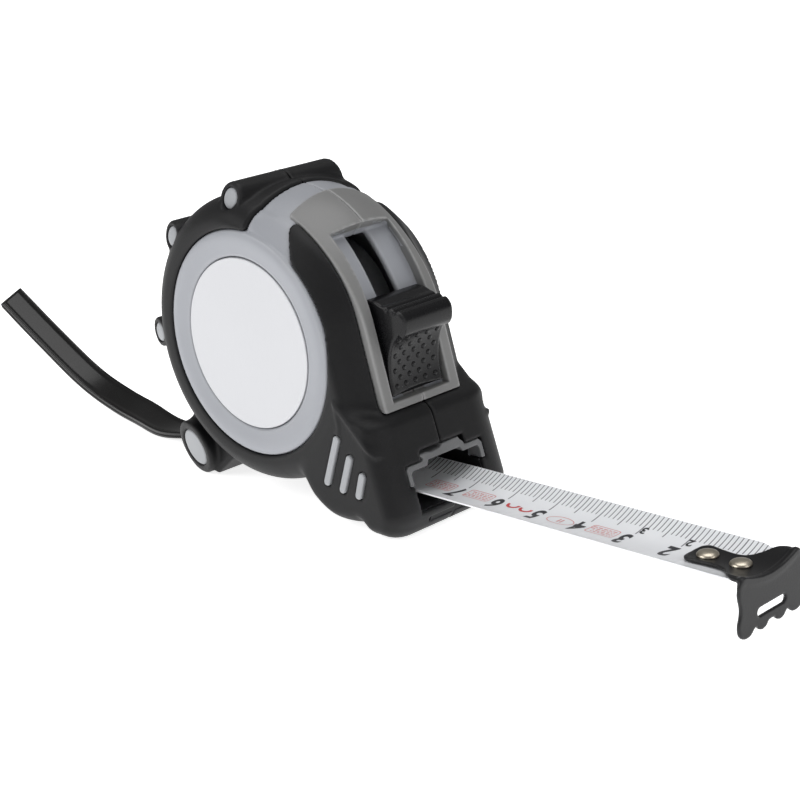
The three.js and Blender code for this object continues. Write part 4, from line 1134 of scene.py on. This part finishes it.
near_numbers = [numeral(str(k), 10 * k + 0.6, -0.95, 6.6, 0.68) for k in (2, 3, 4)]
near_numbers += [numeral(str(k), 10 * k - 0.75, 3.55, 2.7) for k in (2, 3)]
far_numbers = [numeral(str(k), 10 * k + 0.6, -0.95, 6.6, 0.68) for k in (5, 6, 7)]
print_mesh("numbers_outer", near_numbers, BLACK_INK)
print_mesh("signs_outer", box_sign(35.5, -0.4), PINK_INK)
oval = [ring_sign(45.0, -0.8, 3.0, 1.7, 0.17), dash(44.6, -0.8, 0.3, 1.5), dash(45.3, -0.8, 0.3, 1.5)]
inner_print = [
    print_mesh("numbers_inner", far_numbers, BLACK_INK),
    print_mesh("signs_oval", oval, PINK_INK),
    print_mesh("signs_small", box_sign(65.7, 0.1) + box_sign(75.4, 0.1), PINK_INK),
    print_mesh("signs_round", [bow_sign(57.1, 0.3, 1.5, 0.6), bow_sign(53.8, 0.0, 1.5, 0.6)], RED_INK),
]
anchor = tuple(placed(from_blade([(-SPLIT_RUN, 0, 0)]))[0])
for piece in [inner_blade, *inner_print]:
    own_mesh(piece)


# ---- End hook and rivets ------------------------------------------------------------------------------
def hook_plan():
    half = [
        (0.2, 7.8), (-2.2, 8.3), (-4.2, 7.0), (-5.6, 5.2), (-7.2, 3.6), (-9.2, 3.05), (-12, 3.2),
        (-14.8, 3.5),
    ]
    tip = [(-16.1, 2.6), (-16.5, 1.2), (-16.5, 0)]
    run = spline(half + tip, 6)
    return [(x, y) for x, y in run] + [(x, -y) for x, y in run[::-1][1:]]


def plate_outline():
    top = float(edge_z(7.2)) + 1.0
    right = [
        (0, -0.95), (3, float(edge_z(3)) + 1), (6, float(edge_z(6)) + 1), (7.7, top), (8.8, top - 0.5),
        (9.2, top - 2),
    ]
    side_run = [
        (9.15, -2.6), (8.75, -4.2), (8.8, -5.6), (9.25, -7.0), (9.3, -8.4), (8.7, -9.6), (7.4, -10.15),
        (6.0, -10.0),
    ]
    teeth = [(4.9, -9.15), (4.3, -9.1), (3.6, -9.8), (2.6, -10.1), (1.5, -9.8), (0.9, -9.15), (0, -9.0)]
    run = spline(right + side_run + teeth, 5)
    return [(y, z) for y, z in run] + [(-y, z) for y, z in run[::-1][1:-1]]


room = Room((-17.6, -10.4, -11.4), (1.2, 10.4, 1.9), 0.2)
level = edge_z(np.clip(np.abs(room.y), 0, 7.2))
sheet = np.abs(room.z - level - 0.66) - 0.34
plan = room.outline(hook_plan(), room.x, room.y)
tongue = both(sheet, plan, 0.3)
outline = room.outline(plate_outline(), room.y, room.z)
plate = both(np.abs(room.x + 0.4) - 0.4, outline, 0.3)
hook_field = either(tongue, plate, 1.0)
hook_field = both(hook_field, room.x, 0.25)
slot_field = np.hypot(np.maximum(np.abs(room.y) - 3.3, 0), room.z + 6.7) - 0.78
hook_field = without(hook_field, slot_field, 0.25)
points, quads = skin(room, hook_field)
hook = make("hook_pressing", from_blade(points), quads, HOOK, "hook", replaces=("end_hook",))
mark_corners(hook, from_blade(points), quads, 22)

for i, x in enumerate((6.2, 13.0)):
    base = -SAG + 1.0
    head = [
        (0.9, -SAG - BLADE_T / 2 - 0.28), (0.92, base), (1.9, base + 0.02), (1.97, base + 0.16),
        (1.93, base + 0.36),
    ]
    head += [
        (1.7, base + 0.60), (1.3, base + 0.78), (0.8, base + 0.88), (0.35, base + 0.92), (0.03, base + 0.93),
    ]
    tail = [
        (0.03, -SAG - 0.95), (0.9, -SAG - 0.92), (1.45, -SAG - 0.7), (1.5, -SAG - 0.5), (1.42, -SAG - 0.46),
    ]
    profile = tail + head
    turned(
        f"rivet_{i + 1}", profile, (-x, 0, 0), RIVET, "tape", 64, (f"hook_rivet_{i + 1}",),
        blade=True, upright=True,
    )


# ---- Wrist strap --------------------------------------------------------------------------------------
STRAP_KNOTS = [(-34, 3), (-44.8, 1.75), (-54.6, 2.4), (-64.8, 3.4), (-77, 6.7), (-92, 13.8), (-106.6, 21.4)]


def strap_section():
    """The strap across: a flat band with raised beads along its edges and a narrower waist."""
    top = [
        (-2.95, 0.16), (-3.08, 0.42), (-2.98, 0.70), (-2.72, 0.80), (-2.44, 0.72), (-2.2, 0.5),
        (-1.6, 0.47), (-0.8, 0.46), (0, 0.455),
    ]
    top = top + [(-y, z) for y, z in reversed(top[:-1])]
    waist = [(2.86, 0.0)]
    return top + waist + [(y, -z) for y, z in reversed(top)] + [(-2.86, 0.0)]


def strap_mesh():
    start = (LUG[0] - 2.6, LUG[1] - 0.6)
    line = spline([start] + STRAP_KNOTS, 16)
    steps = np.concatenate([[0], np.cumsum(np.hypot(*np.diff(line, axis=0).T))])
    count = 150
    reach = np.linspace(0, steps[-1], count)
    path = np.stack([np.interp(reach, steps, line[:, n]) for n in (0, 1)], 1)
    tangent = np.gradient(path, axis=0)
    tangent /= np.linalg.norm(tangent, axis=1)[:, None]
    section = strap_section()
    points, faces = [], []
    for k, ((px, pz), (tx, tz)) in enumerate(zip(path, tangent)):
        left = reach[-1] - reach[k]
        close = min(1.0, math.sqrt(max(0.0, 1 - (1 - min(left / 0.75, 1.0)) ** 2)) + 0.02)
        swell = 1 + 0.02 * math.sin(reach[k] * 0.35)
        for y, h in section:
            h = h * close * swell
            x, z = px + tz * h, pz - tx * h
            lean = math.radians(24) * float(ramp(-x, 34, 58))
            sway = -2 * math.exp(-(((x + 44.8) / 12) ** 2))
            points.append((x, y * math.cos(lean) + sway, z + y * math.sin(lean)))
    n = len(section)
    for k in range(count - 1):
        for j in range(n):
            a, b = k * n + j, k * n + (j + 1) % n
            faces.append((a, b, b + n, a + n))
    faces.append(tuple(range(n)))
    faces.append(tuple(reversed(range((count - 1) * n, count * n))))
    obj = make("strap_band", points, faces, STRAP, "strap", replaces=("wrist_strap",))
    outwards(obj)
    sharpen(obj, 60)
    eye = [
        (1.75, -3.0), (1.72, -3.1), (3.0, -3.1), (3.15, -2.95), (3.15, 2.95), (3.0, 3.1), (1.72, 3.1),
        (1.75, 3.0), (1.7, 0), (1.75, -3.0),
    ]
    loop = turned("strap_eye", eye[:-1], (LUG[0], 0, LUG[1]), STRAP, "strap", 64)
    return obj, loop


strap_mesh()

# ---- Solids that stay, with a finish ------------------------------------------------------------------
KEPT = {
    "mouth_bumper": GRIP,
    "spring_arbor": STEEL,
    "strap_pin": STEEL,
    "lock_carrier": BUTTON,
    "brake_lever": NYLON,
    "brake_shoe": GRIP,
    "reel_drum": NYLON,
    "reel_cover": NYLON,
    "power_spring": STEEL,
    "blade_coil": CAP,
}
for name, finish in KEPT.items():
    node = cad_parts[name]
    node.data.materials.clear()
    node.data.materials.append(finish.material)


# ---- Floor, light and camera --------------------------------------------------------------------------
def floor():
    mesh = bpy.data.meshes.new("floor")
    mesh.from_pydata([(-4, -4, 0), (4, -4, 0), (4, 4, 0), (-4, 4, 0)], [], [(0, 1, 2, 3)])
    obj = bpy.data.objects.new("floor", mesh)
    bpy.context.scene.collection.objects.link(obj)
    pale = Finish("pale_floor", Roughness=0.75, Emission_Color=(1, 1, 1), Emission_Strength=0.8)
    pale.set("Base Color", pale.mixed(pale.noise(3.0, 2.0), (0.93, 0.93, 0.93), (0.95, 0.95, 0.95)))
    mesh.materials.append(pale.material)


def softbox(name, place, target, size, power, tint=(1, 1, 1)):
    light = bpy.data.lights.new(name, "AREA")
    light.shape = "RECTANGLE"
    light.size, light.size_y = size
    light.energy = power
    light.color = tint
    obj = bpy.data.objects.new(name, light)
    bpy.context.scene.collection.objects.link(obj)
    obj.location = place
    obj.rotation_euler = (Vector(target) - Vector(place)).to_track_quat("-Z", "Y").to_euler()


floor()
softbox("key_left", (-0.35, -0.85, 0.55), (0, 0, 0.03), (0.7, 0.5), 4.2)
softbox("top", (0.05, 0.1, 0.95), (0, 0, 0.03), (0.8, 0.8), 4.8)
softbox("front_right", (0.9, 0.1, 0.4), (0.03, 0, 0.03), (0.5, 0.4), 1.2)

world = bpy.data.worlds.new("studio")
world.use_nodes = True
world.node_tree.nodes["Background"].inputs[0].default_value = (1, 1, 1, 1)
world.node_tree.nodes["Background"].inputs[1].default_value = 0.26
bpy.context.scene.world = world
bpy.context.scene.view_settings.view_transform = "Standard"

camera = bpy.data.objects.new("camera", bpy.data.cameras.new("camera"))
bpy.context.scene.collection.objects.link(camera)
camera.data.lens = 85.92
camera.data.sensor_width = 36
camera.data.clip_start = 0.01
columns = Matrix(((0.71015, -0.195, 0.6765), (0.70214, 0.26675, -0.66018), (-0.05172, 0.94383, 0.32635)))
camera.matrix_world = Matrix.Translation(placed([(274.351, -243.205, 142.478)])[0]) @ columns.to_4x4()
bpy.context.scene.camera = camera

bpy.context.view_layer.update()
